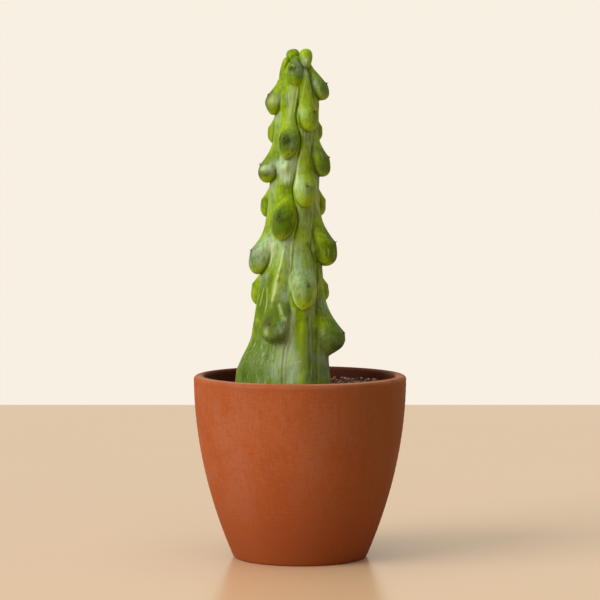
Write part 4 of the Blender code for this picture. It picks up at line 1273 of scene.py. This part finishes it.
class CACTUS_OT_crock(bpy.types.Operator):
    """Finish the clay shard over the drain hole"""

    bl_idname = "cactus.crock"
    bl_label = "Drain Crock"

    def execute(self, context):
        set_finish(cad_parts["drain_crock"], broken_clay(context.scene.cactus_pot))
        return {"FINISHED"}


class CACTUS_OT_soil(bpy.types.Operator):
    """Finish the potting mix and strew its granules"""

    bl_idname = "cactus.soil"
    bl_label = "Potting Mix"

    def execute(self, context):
        settings = context.scene.cactus_soil
        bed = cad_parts["soil"]
        set_finish(bed, potting_mix(settings))
        grains = soil_top("soil_granules", bed)
        values = {
            "Grain": settings.grain, "Spacing": settings.spacing, "Fine Grain": settings.dust_grain,
            "Fine Density": FINE_DENSITY, "Seed": 3, "Material": granules(settings),
        }
        run_tree(grains, grain_tree(), values)
        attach(grains, "root")
        return {"FINISHED"}


class CACTUS_OT_stem(bpy.types.Operator):
    """Grow the stem with its ribs and tubercles"""

    bl_idname = "cactus.stem"
    bl_label = "Stem"

    def execute(self, context):
        settings = context.scene.cactus_stem
        shares = np.arange(settings.columns) * 2.0 / settings.columns - 1.0
        heights = stem_heights(settings.rings)
        ribs = [rib_surface(i, shares, heights) for i in range(len(RIBS))]
        grid = np.concatenate([points for points, _ in ribs], axis=1)
        bottom = (STEM_FOOT_X, 0.0, SOIL_LEVEL - STUB_DEPTH)
        apex = (float(axis_x(DOME_TOP)), 0.0, DOME_TOP + RIB_APEX)
        stem = grid_mesh("cactus_body", [(grid, (bottom, apex))])
        for name in ribs[0][1]:
            values = np.concatenate([fields[name] for _, fields in ribs], axis=1)
            store(stem, name, np.append(values, (0.0, 0.0)))
        skin = cactus_skin(settings)
        stem.data.materials.append(skin)
        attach(stem, "root")
        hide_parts("cactus_stem")
        knobs = grid_mesh("crown_knobs", [knob_surface(*knob) for knob in KNOBS])
        for name, values in knob_fields(np.array([v.co for v in knobs.data.vertices])).items():
            store(knobs, name, values)
        knobs.data.materials.append(skin)
        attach(knobs, "root")
        return {"FINISHED"}


class CACTUS_OT_spines(bpy.types.Operator):
    """Stand the spines on the areoles"""

    bl_idname = "cactus.spines"
    bl_label = "Spines"

    def execute(self, context):
        settings = context.scene.cactus_areoles
        places, ways, sizes = zip(*areole_frames())
        spines = scene_object("areole_spines", places)
        store(spines, "outward", ways, "FLOAT_VECTOR")
        store(spines, "size", sizes)
        values = {
            "Count": SPINES, "Length": settings.spine_length, "Root Radius": settings.spine_radius,
            "Splay": SPINE_SPLAY, "Sink": SPINE_SINK, "Pad Radius": settings.pad_radius, "Seed": 9,
            "Material": areole_fibre(settings),
        }
        run_tree(spines, spine_tree(), values)
        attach(spines, "root")
        return {"FINISHED"}


class CACTUS_OT_stage(bpy.types.Operator):
    """Set up the floor, the light and the camera"""

    bl_idname = "cactus.stage"
    bl_label = "Stage"

    def execute(self, context):
        settings = context.scene.cactus_stage
        make_floor(settings)
        make_light(settings)
        make_camera()
        return {"FINISHED"}


class CACTUS_PT_pieces(bpy.types.Panel):
    """The pieces of the potted cactus"""

    bl_idname = "CACTUS_PT_pieces"
    bl_label = "Potted Cactus"
    bl_space_type = "VIEW_3D"
    bl_region_type = "UI"
    bl_category = "Cactus"

    def draw(self, context):
        for operator, group in PIECES:
            self.layout.operator(operator.bl_idname)
            settings = getattr(context.scene, group)
            box = self.layout.box()
            for name in settings.__annotations__:
                box.prop(settings, name)


def set_finish(node, material):
    """Gives a CAD node a material."""
    node.data.materials.clear()
    node.data.materials.append(material)


def point_outward(made):
    """Turns a closed mesh's faces outward."""
    mesh = bmesh.new()
    mesh.from_mesh(made.data)
    bmesh.ops.recalc_face_normals(mesh, faces=mesh.faces)
    mesh.to_mesh(made.data)
    mesh.free()


def soil_top(name, bed):
    """A ring of faces that lies on the mix, between the stem and the pot's wall."""
    surface = BVHTree.FromObject(bed, bpy.context.evaluated_depsgraph_get())
    wall = inner_radius(SOIL_LEVEL) - GRAIN_WALL_GAP
    points = []
    for k in range(GRAIN_RINGS + 1):
        for j in range(GRAIN_SPOKES):
            angle = 2.0 * math.pi * j / GRAIN_SPOKES
            hole = Vector((STEM_FOOT_X + GRAIN_HOLE * math.sin(angle), -GRAIN_HOLE * math.cos(angle)))
            spot = hole.lerp(Vector((wall * math.sin(angle), -wall * math.cos(angle))), k / GRAIN_RINGS)
            hit = surface.ray_cast(Vector((spot.x, spot.y, POT_HEIGHT)), Vector((0, 0, -1)))[0]
            found = hit and hit.z > SOIL_LEVEL - GRAIN_DEEPEST
            points.append((spot.x, spot.y, hit.z if found else SOIL_LEVEL - GRAIN_SUNK))
    faces = []
    for start in range(0, GRAIN_RINGS * GRAIN_SPOKES, GRAIN_SPOKES):
        for j in range(GRAIN_SPOKES):
            a = start + j
            b = start + (j + 1) % GRAIN_SPOKES
            faces.append((a, a + GRAIN_SPOKES, b + GRAIN_SPOKES, b))
    return scene_object(name, points, faces)


def make_floor(settings):
    """A square floor under the pot."""
    sides = ((-1, -1), (1, -1), (1, 1), (-1, 1))
    corners = [(x * FLOOR_HALF, y * FLOOR_HALF, 0.0) for x, y in sides]
    floor = scene_object("floor", corners, [(0, 1, 2, 3)])
    floor.data.materials.append(floor_finish(settings))


def make_light(settings):
    """A broad soft key from the left, a softer light overhead, and light from all round."""
    for name, towards, angle, strength in (
        ("key", KEY_FROM, settings.key_angle, settings.key),
        ("top", TOP_FROM, TOP_ANGLE, settings.top),
    ):
        light = bpy.data.lights.new(name, "SUN")
        light.angle = angle
        light.energy = strength
        lamp = bpy.data.objects.new(name, light)
        lamp.rotation_euler = Vector(towards).to_track_quat("Z", "Y").to_euler()
        bpy.context.scene.collection.objects.link(lamp)
    world = bpy.data.worlds.new("studio")
    world.use_nodes = True
    nodes = Nodes(world.node_tree)
    path = nodes.add("ShaderNodeLightPath").outputs
    seen = nodes.maths("MAXIMUM", path["Is Camera Ray"], nodes.times(path["Is Glossy Ray"], BACKDROP_GLOSS))
    strength = nodes.result("ShaderNodeMapRange", {"Value": seen, "To Min": settings.ambient, "To Max": 1.0})
    background = world.node_tree.nodes["Background"]
    nodes.feed(background, {"Color": (*settings.backdrop, 1.0), "Strength": strength})
    bpy.context.scene.world = world
    bpy.context.scene.view_settings.view_transform = "Standard"


def make_camera():
    """The camera at the photograph's place, a little above the pot's lip."""
    data = bpy.data.cameras.new("camera")
    data.sensor_width = SENSOR
    data.lens = SENSOR * FOCAL_PIXELS / PICTURE
    data.clip_end = 10.0
    camera = bpy.data.objects.new("camera", data)
    camera.location = (0.0, -CAMERA_DISTANCE, CAMERA_HEIGHT)
    camera.rotation_euler = Euler((math.radians(90.0 - CAMERA_PITCH), 0.0, 0.0))
    bpy.context.scene.collection.objects.link(camera)
    bpy.context.scene.camera = camera


PIECES = (
    (CACTUS_OT_pot, "cactus_pot"),
    (CACTUS_OT_crock, "cactus_pot"),
    (CACTUS_OT_soil, "cactus_soil"),
    (CACTUS_OT_stem, "cactus_stem"),
    (CACTUS_OT_spines, "cactus_areoles"),
    (CACTUS_OT_stage, "cactus_stage"),
)
SETTINGS = {
    "cactus_pot": PotSettings,
    "cactus_soil": SoilSettings,
    "cactus_stem": StemSettings,
    "cactus_areoles": AreoleSettings,
    "cactus_stage": StageSettings,
}


def register():
    """Adds the settings, the operators and the panel to Blender."""
    for name, group in SETTINGS.items():
        bpy.utils.register_class(group)
        setattr(bpy.types.Scene, name, PointerProperty(type=group))
    for operator, _ in PIECES:
        bpy.utils.register_class(operator)
    bpy.utils.register_class(CACTUS_PT_pieces)


def unregister():
    """Takes them out again."""
    bpy.utils.unregister_class(CACTUS_PT_pieces)
    for operator, _ in reversed(PIECES):
        bpy.utils.unregister_class(operator)
    for name, group in reversed(SETTINGS.items()):
        delattr(bpy.types.Scene, name)
        bpy.utils.unregister_class(group)


def main():
    """Builds every piece."""
    register()
    bpy.ops.cactus.pot()
    bpy.ops.cactus.crock()
    bpy.ops.cactus.soil()
    bpy.ops.cactus.stem()
    bpy.ops.cactus.spines()
    bpy.ops.cactus.stage()


if __name__ == "__main__":
    main()
